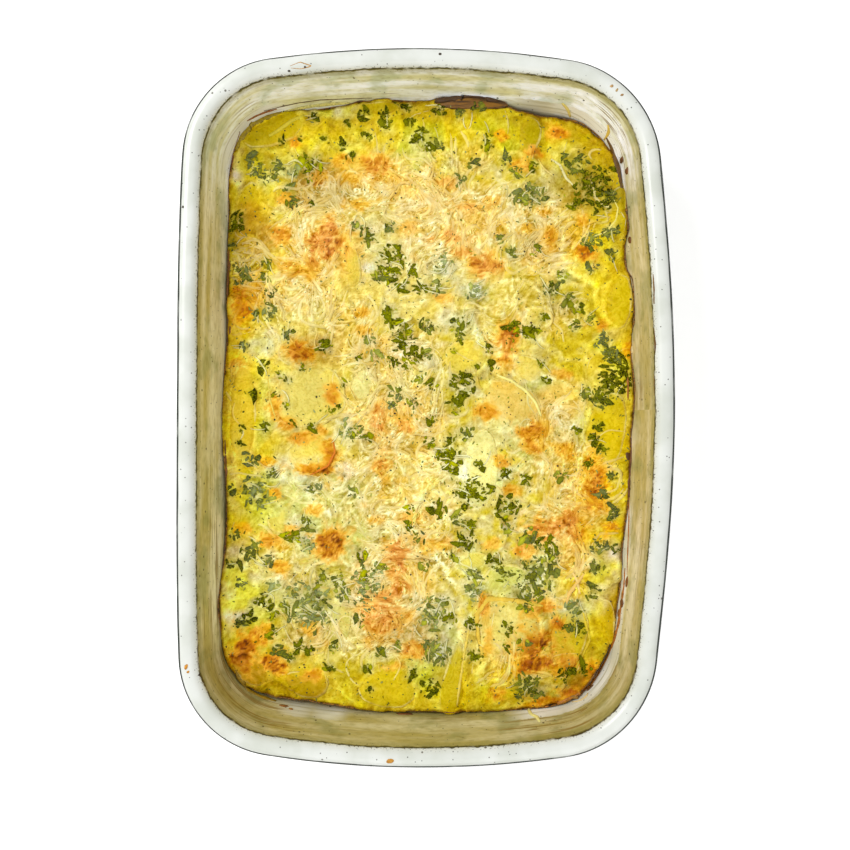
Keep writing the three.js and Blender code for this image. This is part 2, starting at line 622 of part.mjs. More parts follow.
// A flake is a thin four-sided chip, tipped a little and sunk in what carries it.
function flakeBody(x, y, size, heightAt, random) {
  const spin = random() * 2 * Math.PI;
  const tipX = FLAKE_TIP * (random() - 0.5);
  const tipY = FLAKE_TIP * (random() - 0.5);
  const base = heightAt(x, y);
  const outline = [];
  for (let i = 0; i < FLAKE_SIDES; i += 1) {
    const angle = spin + (2 * Math.PI * i) / FLAKE_SIDES;
    const radius = (size / 2) * THREE.MathUtils.lerp(...FLAKE_RADIUS_SHARE, random());
    outline.push([radius * Math.cos(angle), radius * Math.sin(angle)]);
  }
  const ring = (share, offset) => outline.map(([dx, dy]) => {
    const tip = tipX * dx + tipY * dy;
    return [x + dx * share, y + dy * share, base + offset + tip];
  });
  return toSolid(loftGeometry([ring(1, -FLAKE_SUNK), ring(FLAKE_TOP_SHARE, FLAKE_PROUD)]));
}

// Which piece a small topping lies on, or none where it would cross an edge.
function insideOutline(piece, x, y, margin) {
  const dx = x - piece.x;
  const dy = y - piece.y;
  const along = dx * Math.cos(piece.angle) + dy * Math.sin(piece.angle);
  const across = -dx * Math.sin(piece.angle) + dy * Math.cos(piece.angle);
  const shortest = Math.min(...piece.half);
  const shareAlong = along / (piece.half[0] - margin);
  const narrowed = Math.max(LEAST_TAPER, 1 + piece.taper * shareAlong);
  const radius = Math.hypot(shareAlong, across / ((piece.half[1] - margin) * narrowed));
  return shortest > margin && radius < INSIDE_SHARE;
}

function clearOfPieces(x, y, margin) {
  const grown = margin * TOPPING_MARGIN.share + TOPPING_MARGIN.least;
  return TOP_PIECES.every((piece) => !insideOutline(piece, x, y, -grown));
}

function addFlakes(solid, accepts, heightAt) {
  const random = makeRandom(SEEDS.flakes);
  const flakes = [];
  for (const [px, py, size] of PARSLEY) {
    const x = seenX(px);
    const y = seenY(py);
    const flakeRandom = makeRandom(Math.floor(random() * SEED_RANGE));
    if (accepts(x, y, size)) flakes.push(flakeBody(x, y, size, heightAt, flakeRandom));
  }
  return flakes.reduce((body, flake) => body.add(flake), solid);
}

// Melted cheese shreds that stand proud: short bent strips that follow the surface.
function strandBody(points) {
  const rings = points.map((point, i) => {
    const before = points[Math.max(0, i - 1)];
    const after = points[Math.min(points.length - 1, i + 1)];
    const length = Math.hypot(after[0] - before[0], after[1] - before[1]);
    const sideX = (-(after[1] - before[1]) / length) * (STRAND_WIDTH / 2);
    const sideY = ((after[0] - before[0]) / length) * (STRAND_WIDTH / 2);
    const base = facetHeight(point[0], point[1]);
    return [
      [point[0] - sideX, point[1] - sideY, base - STRAND_SUNK],
      [point[0] + sideX, point[1] + sideY, base - STRAND_SUNK],
      [point[0] + sideX * STRAND_TOP_SHARE, point[1] + sideY * STRAND_TOP_SHARE, base + STRAND_PROUD],
      [point[0] - sideX * STRAND_TOP_SHARE, point[1] - sideY * STRAND_TOP_SHARE, base + STRAND_PROUD],
    ];
  });
  return toSolid(loftGeometry(rings));
}

function strandPath(random) {
  const x = (random() * 2 - 1) * (DISH_HALF_WIDTH - CORNER_RADIUS / 2);
  const y = (random() * 2 - 1) * (DISH_HALF_LENGTH - CORNER_RADIUS / 2);
  const heading = random() * 2 * Math.PI;
  const bend = (random() - 0.5) * STRAND_BEND;
  const step = THREE.MathUtils.lerp(...STRAND_STEP_LENGTH, random());
  const points = [[x, y]];
  for (let i = 1; i <= STRAND_STEPS; i += 1) {
    const [lastX, lastY] = points[i - 1];
    const angle = heading + (bend * i) / STRAND_STEPS;
    points.push([lastX + step * Math.cos(angle), lastY + step * Math.sin(angle)]);
  }
  return points;
}

function addStrands(solid) {
  const random = makeRandom(SEEDS.strands);
  const placed = [];
  const reach = STRAND_STEPS * STRAND_STEP_LENGTH[1];
  let body = solid;
  for (let tries = 0; placed.length < STRAND_COUNT && tries < STRAND_TRIES; tries += 1) {
    const path = strandPath(random);
    const middle = path[Math.floor(STRAND_STEPS / 2)];
    const clear = path.every(([x, y]) => clearOfPieces(x, y, STRAND_MARGIN));
    const fits = clear && path.every(([x, y]) => depthInside(x, y) > STRAND_WALL_MARGIN);
    const apart = placed.every(([x, y]) => Math.hypot(x - middle[0], y - middle[1]) > reach);
    if (!fits || !apart) continue;
    placed.push(middle);
    body = body.add(strandBody(path));
  }
  return body;
}

function gratinSolid() {
  let body = surfaceBlock().intersect(bakeSpace(WALL_CLEARANCE, true));
  for (const piece of TOP_PIECES) body = body.subtract(piecePocket(piece));
  body = largestBody(body);
  const onGratin = (x, y, size) => clearOfPieces(x, y, size / 2)
    && depthInside(x, y) > size / 2 + FLAKE_MARGINS.wall;
  return largestBody(addStrands(addFlakes(body, onGratin, facetHeight)));
}

// A slice keeps out of the wall and of every piece that lies over it.
function sliceSolid(piece, above) {
  let body = pieceBody(piece).intersect(bakeSpace(WALL_CLEARANCE, false));
  for (const upper of above) body = body.subtract(pieceColumn(upper));
  body = largestBody(body);
  const onSlice = (x, y, size) => insideOutline(piece, x, y, size / 2 + FLAKE_MARGINS.sliceEdge)
    && above.every((upper) => !insideOutline(upper, x, y, -size / 2 - FLAKE_MARGINS.upperSlice));
  return addFlakes(body, onSlice, (x, y) => pieceTop(piece, x, y));
}

const MATERIALS = {
  stoneware: new THREE.MeshStandardMaterial({ color: 0xe9ebe2, roughness: 0.25, metalness: 0 }),
  bakedCheese: new THREE.MeshStandardMaterial({ color: 0xd8b95e, roughness: 0.45, metalness: 0 }),
  potato: new THREE.MeshStandardMaterial({ color: 0xe6cd66, roughness: 0.4, metalness: 0 }),
  darkOnion: new THREE.MeshStandardMaterial({ color: 0x6a4a10, roughness: 0.4, metalness: 0 }),
};

const group = new THREE.Group();

function addPart(name, geometry, material) {
  const mesh = new THREE.Mesh(geometry, material);
  mesh.name = name;
  group.add(mesh);
}

addPart('dish', dishGeometry(), MATERIALS.stoneware);
addPart('gratin', toGeometry(gratinSolid()), MATERIALS.bakedCheese);
TOP_PIECES.forEach((piece, i) => {
  const material = piece === ONION_PIECE ? MATERIALS.darkOnion : MATERIALS.potato;
  addPart(piece.name, toGeometry(sliceSolid(piece, TOP_PIECES.slice(0, i))), material);
});

export default group;
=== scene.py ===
"""Looks for the potato gratin in its stoneware dish. Work is in millimetres; meshes are made in metres."""

import math

import bpy
import numpy as np
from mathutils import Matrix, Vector
from mathutils.bvhtree import BVHTree


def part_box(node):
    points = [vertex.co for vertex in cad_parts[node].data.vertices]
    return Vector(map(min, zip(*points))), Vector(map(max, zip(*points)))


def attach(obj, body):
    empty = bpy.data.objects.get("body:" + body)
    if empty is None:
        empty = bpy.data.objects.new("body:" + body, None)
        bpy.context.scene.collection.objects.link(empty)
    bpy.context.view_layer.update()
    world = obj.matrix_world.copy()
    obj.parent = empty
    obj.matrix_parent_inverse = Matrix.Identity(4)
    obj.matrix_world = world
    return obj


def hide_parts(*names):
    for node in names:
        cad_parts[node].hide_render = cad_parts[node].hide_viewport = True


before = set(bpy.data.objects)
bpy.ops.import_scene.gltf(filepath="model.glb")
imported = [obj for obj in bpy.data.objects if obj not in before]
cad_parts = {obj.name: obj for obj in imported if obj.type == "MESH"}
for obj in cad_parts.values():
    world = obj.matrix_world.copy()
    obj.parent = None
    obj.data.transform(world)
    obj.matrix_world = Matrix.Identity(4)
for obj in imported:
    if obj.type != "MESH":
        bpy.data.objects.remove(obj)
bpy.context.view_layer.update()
MM = 0.001

# Dish: the same outline arcs and section as the solid.
DISH_HALF_WIDTH = 118.0
DISH_HALF_LENGTH = 170.0
DISH_HEIGHT = 62.0
LONG_SIDE_RADIUS = 1530.0
SHORT_SIDE_RADIUS = 483.0
CORNER_RADIUS = 50.0
OUTER_WALL = ((21, 0), (17.8, 1.4), (16.2, 5), (9.4, 34), (5.2, 50))
ROLLED_RIM = ((3.2, 52.6), (0.9, 54.4), (0, 57), (0.8, 59.8), (2.9, 61.6), (5, 62), (7.4, 61.5), (9.3, 59.8))
INNER_WALL = ((9.9, 57.6), (10.6, 54), (12.6, 44), (15.3, 34), (17, 25), (19.6, 15), (24.5, 9), (33, 6.5))
SECTION_STEPS = 5
DISH_STEPS = (30, 20, 20)
RIM_WOBBLE = 0.3
RIM_DIP = 0.25
RIM_MIDDLE = 10.0

# The dish bows to one side: its ends lie to the left of its middle.
SWAY_SWING = 1.85
SWAY_HALF_WAVE = 165.0

# The map that runs round the wall counts in tenths of a metre, and the floor's middle lies this far along it.
WRAP_UNIT = 100.0
FLOOR_REACH = 90.0

# Heights on the section where the stain begins, where the food begins, and of the dark line painted outside
# the rim as the shade of the dish's outline.
STAIN_EDGE = 58.6
FOOD_EDGE = 37.0
OUTLINE_SHADE_HEIGHT = 59.7

# The photograph's view: straight down, at this scale on the rim and on the food.
RIM_MM_PER_PX = 0.467
FOOD_MM_PER_PX = 0.5017
VIEW_MIDDLE_PX = 425
VIEW_WIDTH_PX = 850
CAMERA_X = -0.4
CAMERA_Y = -8.1
CAMERA_ABOVE_RIM = 380.6
CAMERA_ROLL = 0.4
SENSOR_WIDTH = 36.0

# The bake: its grid, its usual height, its underside, and how far it stays off the wall.
STEP = 0.85
TOP_HEIGHT = 33.6
FOOD_BOTTOM = 7.2
WALL_CLEARANCE = 0.45
BORDER_CLEARANCE = 0.3
SIDE_LEVELS = (1.0, 2.4, 5.0, 9.0, 14.0, 19.0)
HIDDEN_SIDE = 12.0

# Noise fields: size in millimetres, seed and number of layers.
NOISES = {
    "rim_wobble": (55.0, 5, 3),
    "slice_outline": (1.0, 7, 1),
    "browned_shape": (6.0, 31, 3),
    "browned_grit": (1.3, 37, 1),
    "browned_specks": (7.0, 43, 3),
    "browned_depth": (3.4, 47, 2),
    "pinkness": (7.0, 49, 2),
    "tone_shape": (6.0, 61, 3),
    "light_shape": (9.0, 63, 3),
    "herb_stain": (3.0, 71, 3),
    "curd": (1.9, 73, 2),
    "golden": (11.0, 75, 3),
    "butter_fat": (6.5, 77, 2),
    "hidden_slices": (16.0, 83, 3),
    "stream": (18.0, 91, 2),
    "crossing_stream": (16.0, 93, 2),
    "slice_top": (5.0, 97, 3),
    "slice_mottle": (6.0, 103, 3),
    "relief": (3.4, 111, 2),
    "border": (7.0, 113, 3),
    "border_grit": (2.0, 117, 1),
    "border_crust": (8.0, 119, 3),
    "side_crust": (5.0, 121, 3),
    "wall_distance": (16.0, 127, 3),
    "cream": (8.0, 129, 3),
    "fine_cream": (3.2, 130, 2),
    "side_bulge": (6.0, 131, 3),
    "veil_shape": (8.0, 137, 3),
    "veil_depth": (5.0, 139, 1),
    "crust_width": (9.0, 141, 3),
    "crust_bulk": (24.0, 143, 3),
    "crust_height": (6.0, 145, 3),
    "crust_tone": (5.0, 147, 3),
    "bare_edge": (1.0, 151, 1),
    "rim_patches": (1.0, 155, 1),
    "edge_shade": (1.0, 157, 1),
    "mottle": (4.2, 159, 3),
    "fine_mottle": (1.4, 161, 1),
    "slice_cover": (3.0, 163, 1),
    "slice_haze": (7.0, 165, 3),
    "band_width": (2.2, 171, 1),
    "band_tone": (1.6, 173, 1),
    "lump_outline": (1.5, 175, 1),
    "lump_tone": (0.8, 177, 1),
    "stringy": (11.0, 181, 2),
}

# Seeds of the random draws.
HIDDEN_SLICES_SEED = 8
LEAF_SEED = 33
PEPPER_SEED = 44
HERB_SHREDS_SEED = 305


def smooth(low, high, value):
    t = np.clip((value - low) / (high - low), 0.0, 1.0)
    return t * t * (3 - 2 * t)


def linear(red, green, blue):
    """An sRGB colour of 0 to 255 as linear light."""
    srgb = np.array([red, green, blue]) / 255.0
    return np.where(srgb <= 0.04045, srgb / 12.92, ((srgb + 0.055) / 1.055) ** 2.4)


def mixed(first, second, share):
    """Two colours mixed, by a share for each place or by one share for all."""
    share = np.clip(share, 0, 1)
    share = share[:, None] if np.ndim(share) else share
    return first * (1 - share) + second * share


def seen(px, py):
    """A place of the food, read in pixels of the photograph's frame, in millimetres."""
    x = (px - VIEW_MIDDLE_PX) * FOOD_MM_PER_PX + CAMERA_X
    y = (VIEW_MIDDLE_PX - py) * FOOD_MM_PER_PX + CAMERA_Y
    return x, y


def away_from(x, y, px, py):
    """The distance from a place seen in the photograph."""
    cx, cy = seen(px, py)
    return np.hypot(x - cx, y - cy)


def spot(x, y, px, py, reach):
    """A soft round spot, full at a place seen in the photograph."""
    return np.exp(-((away_from(x, y, px, py) / reach) ** 2))


# Noise that needs no add-on: a hashed lattice, smoothly joined.
HASH_STEPS = (374761393, 668265263, 974711)
HASH_MIX = 1274126177
HASH_BITS, RESULT_BITS = 0xFFFFFFFF, 0xFFFF
LAYER_SHARE = 0.55
LAYER_SEED_STEP = 17


def lattice(i, j, seed):
    h = (i * HASH_STEPS[0] + j * HASH_STEPS[1] + seed * HASH_STEPS[2]) & HASH_BITS
    h = ((h ^ (h >> 13)) * HASH_MIX) & HASH_BITS
    return ((h ^ (h >> 16)) & RESULT_BITS) / (RESULT_BITS / 2) - 1.0


def value_noise(x, y, size, seed):
    u, v = np.asarray(x) / size, np.asarray(y) / size
    i, j = np.floor(u).astype(np.int64), np.floor(v).astype(np.int64)
    fu, fv = u - i, v - j
    su, sv = fu * fu * (3 - 2 * fu), fv * fv * (3 - 2 * fv)
    low = lattice(i, j, seed) * (1 - su) + lattice(i + 1, j, seed) * su
    high = lattice(i, j + 1, seed) * (1 - su) + lattice(i + 1, j + 1, seed) * su
    return low * (1 - sv) + high * sv


def noise(kind, x, y):
    """A named noise field, from -1 to 1."""
    size, seed, layers = NOISES[kind]
    total, weight = 0.0, 0.0
    for k in range(layers):
        share = LAYER_SHARE**k
        total = total + share * value_noise(x, y, size / 2**k, seed + LAYER_SEED_STEP * k)
        weight += share
    return total / weight


# Meshes.
MAP_MARGIN = 0.01
WALL_MAP_START, WALL_MAP_SPAN = 0.04, 0.92


def make_mesh(name, points, faces, smooth_faces=True):
    mesh = bpy.data.meshes.new(name)
    mesh.from_pydata((np.asarray(points) * MM).tolist(), [], faces)
    if smooth_faces:
        mesh.polygons.foreach_set("use_smooth", [True] * len(mesh.polygons))
    mesh.update()
    piece = bpy.data.objects.new(name, mesh)
    bpy.context.scene.collection.objects.link(piece)
    return piece


def paint(piece, colours, veil=None):
    """Stores one linear colour for each point, and how thickly cheese covers it as its alpha."""
    colours = np.clip(np.asarray(colours, dtype=np.float32), 0, 1)
    veil = np.ones(len(colours)) if veil is None else veil
    attribute = piece.data.color_attributes.new(name="tint", type="FLOAT_COLOR", domain="POINT")
    attribute.data.foreach_set("color", np.column_stack([colours, veil]).astype(np.float32).ravel())


def store_stream(piece, x, y):
    attribute = piece.data.attributes.new(name="stream", type="FLOAT", domain="POINT")
    attribute.data.foreach_set("value", np.asarray(stream(x, y), dtype=np.float32))


def add_map(piece, name, values):
    layer = piece.data.uv_layers.new(name=name)
    layer.data.foreach_set("uv", np.asarray(values, dtype=np.float32).ravel())


def plan_map(piece):
    """Lays the piece's texture map out as it is seen from above."""
    points = np.zeros(len(piece.data.vertices) * 3)
    piece.data.vertices.foreach_get("co", points)
    points = points.reshape(-1, 3) / MM
    low, high = points.min(0), points.max(0)
    side = max(high[0] - low[0], high[1] - low[1])
    corner = np.zeros(len(piece.data.loops), dtype=np.int32)
    piece.data.loops.foreach_get("vertex_index", corner)
    add_map(piece, "OFBake", (points[corner, :2] - low[:2]) / side * (1 - 2 * MAP_MARGIN) + MAP_MARGIN)


def ring_faces(rings, count, start=0, closed=False):
    """Quads between neighbouring rings of points, and from the last ring to the first if closed."""
    faces = []
    for r in range(rings if closed else rings - 1):
        low, high = start + r * count, start + (r + 1) % rings * count
        faces += [(low + i, low + (i + 1) % count, high + (i + 1) % count, high + i) for i in range(count)]
    return faces


def fan(point, first, count, turned=False):
    """Triangles from one point to a ring of points."""
    pairs = [(first + i, first + (i + 1) % count) for i in range(count)]
    return [(point, b, a) if turned else (point, a, b) for a, b in pairs]


def strip_faces(edges, count, start=0):
    """A closed strip whose points run along it edge by edge, with both its ends."""
    faces = []
    for k in range(edges):
        a, b = start + k * count, start + (k + 1) % edges * count
        faces += [(a + i, a + i + 1, b + i + 1, b + i) for i in range(count - 1)]
    faces.append(tuple(start + k * count for k in range(edges)))
    faces.append(tuple(start + (edges - k) * count - 1 for k in range(edges)))
    return faces


def run_along(points):
    """The length run along a line of points, from nought."""
    return np.concatenate([[0], np.cumsum(np.linalg.norm(np.diff(points, axis=0), axis=1))])


def ray_tree(pieces):
    """A ray tree over some objects, in millimetres."""
    points, faces = [], []
    for piece in pieces:
        start = len(points)
        points += [v.co / MM for v in piece.data.vertices]
        faces += [[start + i for i in p.vertices] for p in piece.data.polygons]
    return BVHTree.FromPolygons(points, faces)


class Shader:
    """A material in the making, with short names for its nodes."""

    def __init__(self, name):
        self.material = bpy.data.materials.new(name)
        self.material.use_nodes = True
        self.tree = self.material.node_tree
        self.surface = self.tree.nodes["Principled BSDF"]

    def put(self, node, key, value):
        """Links a socket, or sets a plain number or colour."""
        if isinstance(value, bpy.types.NodeSocket):
            self.tree.links.new(value, node.inputs[key])
        else:
            node.inputs[key].default_value = value

    def node(self, kind, inputs=None, **settings):
        made = self.tree.nodes.new("ShaderNode" + kind)
        for key, value in settings.items():
            setattr(made, key, value)
        for key, value in (inputs or {}).items():
            self.put(made, key, value)
        return made

    def place(self):
        return self.node("TexCoord").outputs["Object"]

    def part(self, vector, axis):
        return self.node("SeparateXYZ", {0: vector}).outputs[axis]

    def stored(self, name, output="Color"):
        return self.node("Attribute", attribute_name=name).outputs[output]

    def stretched(self, vector, scale):
        return self.node("Mapping", {"Vector": vector, "Scale": scale}).outputs[0]

    def noise(self, scale, detail, vector):
        inputs = {"Scale": scale, "Detail": detail, "Vector": vector}
        return self.node("TexNoise", inputs).outputs["Fac"]

    def math(self, operation, first, second=0.0, third=0.0):
        return self.node("Math", {0: first, 1: second, 2: third}, operation=operation).outputs[0]

    def times(self, first, second):
        return self.math("MULTIPLY", first, second)

    def ramp(self, value, low, high, to_low=0.0, to_high=1.0):
        inputs = {"Value": value, "From Min": low, "From Max": high, "To Min": to_low, "To Max": to_high}
        return self.node("MapRange", inputs, interpolation_type="SMOOTHSTEP").outputs[0]

    def line(self, value, middle, half_core, half_reach):
        """Full where a value is near its middle, and nought beyond its reach."""
        away = self.math("ABSOLUTE", self.math("SUBTRACT", value, middle))
        return self.ramp(away, half_core, half_reach, 1.0, 0.0)

    def mix(self, factor, first, second, blend="MIX"):
        """Mixes two colours. A mix node keeps its colour sockets at 6 and 7 and its colour result at 2."""
        first, second = (c if isinstance(c, bpy.types.NodeSocket) else (*c, 1.0) for c in (first, second))
        inputs = {0: factor, 6: first, 7: second}
        return self.node("Mix", inputs, data_type="RGBA", blend_type=blend).outputs[2]

    def shaded(self, factor, colour, factors):
        """A colour multiplied by factors of red, green and blue."""
        return self.mix(factor, colour, factors, "MULTIPLY")

    def step(self, factor, colour, step):
        """A step of light: factors of red, green and blue, the way blue moves besides, and how far."""
        factors, way, blue = step
        return self.mix(factor, self.shaded(factor, colour, factors), (0.0, 0.0, blue), way)

    def bump(self, height, strength, distance):
        inputs = {"Height": height, "Strength": strength, "Distance": distance * MM}
        self.put(self.surface, "Normal", self.node("Bump", inputs).outputs[0])

    def finished(self, colour, roughness, specular=0.5):
        self.put(self.surface, "Base Color", colour)
        self.put(self.surface, "Roughness", roughness)
        self.put(self.surface, "Specular IOR Level", specular)
        return self.material


# Dish outline: each sample is an arc's centre, radius and direction, so that an inset is one sum.
LONG_ARC = (np.array([DISH_HALF_WIDTH - LONG_SIDE_RADIUS, 0.0]), LONG_SIDE_RADIUS)
SHORT_ARC = (np.array([0.0, DISH_HALF_LENGTH - SHORT_SIDE_RADIUS]), SHORT_SIDE_RADIUS)


def corner_centre():
    """Where the corner's arc has its middle, so that it meets both side arcs smoothly."""
    from_long, from_short = LONG_SIDE_RADIUS - CORNER_RADIUS, SHORT_SIDE_RADIUS - CORNER_RADIUS
    between = SHORT_ARC[0] - LONG_ARC[0]
    distance = np.linalg.norm(between)
    unit = between / distance
    along = (from_long**2 - from_short**2 + distance**2) / (2 * distance)
    aside = math.sqrt(from_long**2 - along**2)
    return LONG_ARC[0] + unit * along + np.array([-unit[1], unit[0]]) * aside


CORNER = corner_centre()


def outline_samples(long_steps, corner_steps, short_steps):
    """Arc centres, radii and directions all round, counter-clockwise from the +X side."""
    long_end = math.atan2(*(CORNER - LONG_ARC[0])[::-1])
    short_start = math.atan2(*(CORNER - SHORT_ARC[0])[::-1])
    quarter = []
    for (centre, radius), start, end, steps in (
        (LONG_ARC, 0.0, long_end, long_steps),
        ((CORNER, CORNER_RADIUS), long_end, short_start, corner_steps),
        (SHORT_ARC, short_start, math.pi / 2, short_steps),
    ):
        for angle in np.linspace(start, end, steps, endpoint=False):
            quarter.append((*centre, radius, math.cos(angle), math.sin(angle)))
    quarter.append((*SHORT_ARC[0], SHORT_ARC[1], 0.0, 1.0))
    quarter = np.array(quarter)
    forward, backward = quarter[:-1], quarter[:0:-1]
    flip_x, flip_y = np.array([-1, 1, 1, -1, 1]), np.array([1, -1, 1, 1, -1])
    return np.vstack([forward, backward * flip_x, forward * flip_x * flip_y, backward * flip_y])


def sway(y):
    """How far to the right the dish bows at a place along it, counted from its middle."""
    return SWAY_SWING * (np.cos(math.pi * np.asarray(y) / SWAY_HALF_WAVE) - 1)


def outline_at(samples, inset):
    reach = samples[:, 2] - inset
    place = samples[:, :2] + samples[:, 3:5] * reach[:, None]
    return place + np.column_stack([sway(place[:, 1]), np.zeros(len(place))])


def from_rim(x, y):
    """How far a place is inside the rim's outline."""
    ax, ay = np.abs(x - sway(y)), np.abs(y)
    from_long = LONG_SIDE_RADIUS - np.hypot(ax - LONG_ARC[0][0], ay)
    from_short = SHORT_SIDE_RADIUS - np.hypot(ax, ay - SHORT_ARC[0][1])
    from_corner = CORNER_RADIUS - np.hypot(ax - CORNER[0], ay - CORNER[1])
    in_corner = (ax > CORNER[0]) & (ay > CORNER[1])
    return np.where(in_corner, from_corner, np.minimum(from_long, from_short))


def wall_inset(z):
    """The inner wall's inset at a height."""
    insets, heights = zip(*reversed(INNER_WALL))
    return np.interp(z, heights, insets)


def smooth_section(points, steps):
    """A curve through the section's points, with corners rounded only by its spacing."""
    points = np.array(points, dtype=float)
    padded = np.vstack([2 * points[0] - points[1], points, 2 * points[-1] - points[-2]])
    curve = []
    for k in range(1, len(padded) - 2):
        p0, p1, p2, p3 = padded[k - 1 : k + 3]
        pull = min(np.linalg.norm(p2 - p1) / max(np.linalg.norm(p1 - p0), 1e-6), 1.0)
        push = min(np.linalg.norm(p2 - p1) / max(np.linalg.norm(p3 - p2), 1e-6), 1.0)
        start, end = (p2 - p0) * 0.5 * pull, (p3 - p1) * 0.5 * push
        for t in np.linspace(0, 1, steps, endpoint=False):
            a, b, c, d = 2 * t**3 - 3 * t**2 + 1, t**3 - 2 * t**2 + t, -2 * t**3 + 3 * t**2, t**3 - t**2
            curve.append(a * p1 + b * start + c * p2 + d * end)
    return np.vstack([curve, points[-1]])


def dish_section():
    """The dish's section from the foot over the rim to the floor, and the length run along it."""
    section = smooth_section((*OUTER_WALL, *ROLLED_RIM, *INNER_WALL), SECTION_STEPS)
    return section, run_along(section)


def section_run(height, inner):
    """The length along the section from the foot to a height on the inner or the outer side."""
    section, run = dish_section()
    top = int(np.argmax(section[:, 1]))
    part = slice(top, None) if inner else slice(0, top)
    return run[part][int(np.argmin(np.abs(section[part, 1] - height)))]


# Dish.
def build_dish():
    samples = outline_samples(*DISH_STEPS)
    count = len(samples)
    section, run = dish_section()
    middle = outline_at(samples, RIM_MIDDLE)
    around = run_along(np.vstack([middle, middle[:1]]))
    wobble = RIM_WOBBLE * noise("rim_wobble", middle[:, 0], middle[:, 1])
    rings = []
    for inset, z in section:
        share = min(z / DISH_HEIGHT, 1.0)
        ring = outline_at(samples, inset + RIM_WOBBLE * share + wobble * share)
        dip = RIM_DIP * share * np.abs(wobble) / RIM_WOBBLE
        rings.append(np.column_stack([ring, np.full(count, z) - dip]))
    centres = [[0.0, 0.0, section[0][1]], [0.0, 0.0, section[-1][1]]]
    base_point = len(section) * count
    last = base_point - count
    faces = ring_faces(len(section), count)
    faces += fan(base_point, 0, count, turned=True) + fan(base_point + 1, last, count)
    dish = make_mesh("glazed_dish", np.vstack([*rings, centres]), faces)
    wrap_dish(dish, around, run, count, base_point)
    return dish


def wrap_dish(dish, around, run, count, base_point):
    """Two maps: one that runs round the wall and along its section, and one for the texture."""
    length, depth = around[-1], run[-1]
    wrap, plan = [], []
    for polygon in dish.data.polygons:
        corners = list(polygon.vertices)
        columns = [c % count for c in corners]
        seam = max(columns) == count - 1 and min(columns) == 0
        for c in corners:
            if c >= base_point:
                base = c == base_point
                wrap.append((0.5, -0.5 if base else (depth + FLOOR_REACH) / WRAP_UNIT))
                plan.append((0.5, 0.0 if base else 1.0))
                continue
            column, ring = c % count, c // count
            u = length if seam and column == 0 else around[column]
            wrap.append((u / WRAP_UNIT, run[ring] / WRAP_UNIT))
            plan.append((u / length, WALL_MAP_START + WALL_MAP_SPAN * run[ring] / depth))
    add_map(dish, "wrap", wrap)
    add_map(dish, "OFBake", plan)


# Places where the wall is clean down to the food, in pixels, and their reach in millimetres.
CLEAN_WALL = (
    (236, 140, 20), (262, 112, 12), (585, 116, 22), (536, 104, 14), (632, 520, 9), (630, 550, 11),
    (626, 580, 14), (618, 610, 18), (610, 640, 22), (590, 685, 26), (545, 715, 16), (300, 705, 9),
    (330, 712, 9),
)

# Speckles in the glaze: cells to a metre, size as a share of a cell, tone.
SPECKLES = (
    (420.0, 0.1, linear(58, 54, 42)),
    (170.0, 0.07, linear(70, 60, 34)),
    (300.0, 0.06, linear(40, 36, 28)),
)

# How far the stain's edge and the outer line wander, in millimetres.
EDGE_WANDER = 2.2
LINE_WANDER = 0.9


def glaze_material():
    """White speckled glaze, dark where it breaks over the rim's inner edge with painted shade just inside,
    with a dark outline painted outside the rim as shade, and stained by baking inside.
    """
    m = Shader("stoneware_glaze")
    wrap = m.node("UVMap", uv_map="wrap").outputs[0]
    place = m.place()
    run = m.times(m.part(wrap, 1), WRAP_UNIT)
    jagged = m.math("SUBTRACT", m.noise(34.0, 3.0, wrap), 0.5)
    wavy = m.math("SUBTRACT", m.noise(5.0, 2.0, wrap), 0.5)
    moved = m.math("MULTIPLY_ADD", jagged, EDGE_WANDER, run)
    moved = m.math("MULTIPLY_ADD", wavy, EDGE_WANDER, moved)

    edge = section_run(STAIN_EDGE, True)
    inside = m.ramp(moved, edge - 0.5, edge + 0.5)
    white = m.mix(m.ramp(m.noise(55.0, 3.0, place), 0.35, 0.68), linear(230, 233, 227), linear(214, 218, 208))
    colour = m.mix(inside, white, stain_colour(m, wrap, place))
    colour = m.mix(clean_share(m, place, moved), colour, clean_wall_colour(m, wrap))
    colour = rim_edge(m, colour, wrap, moved, edge, inside)

    # A dark line painted just outside the rim's top: painted shade along the dish's outline.
    outer = m.math("MULTIPLY_ADD", wavy, LINE_WANDER, run)
    painted_outline_shade = m.line(outer, section_run(OUTLINE_SHADE_HEIGHT, False), 1.3, 1.8)
    patchy = m.ramp(m.noise(6.0, 4.0, wrap), 0.3, 0.5, 0.6, 0.97)
    colour = m.mix(m.times(painted_outline_shade, patchy), colour, linear(34, 40, 32))
    colour = speckled(m, colour, place)
    m.bump(m.noise(240.0, 2.0, place), 0.2, 0.25)
    return m.finished(colour, m.math("MAXIMUM", m.ramp(inside, 0.0, 1.0, 0.28, 0.5), painted_outline_shade))


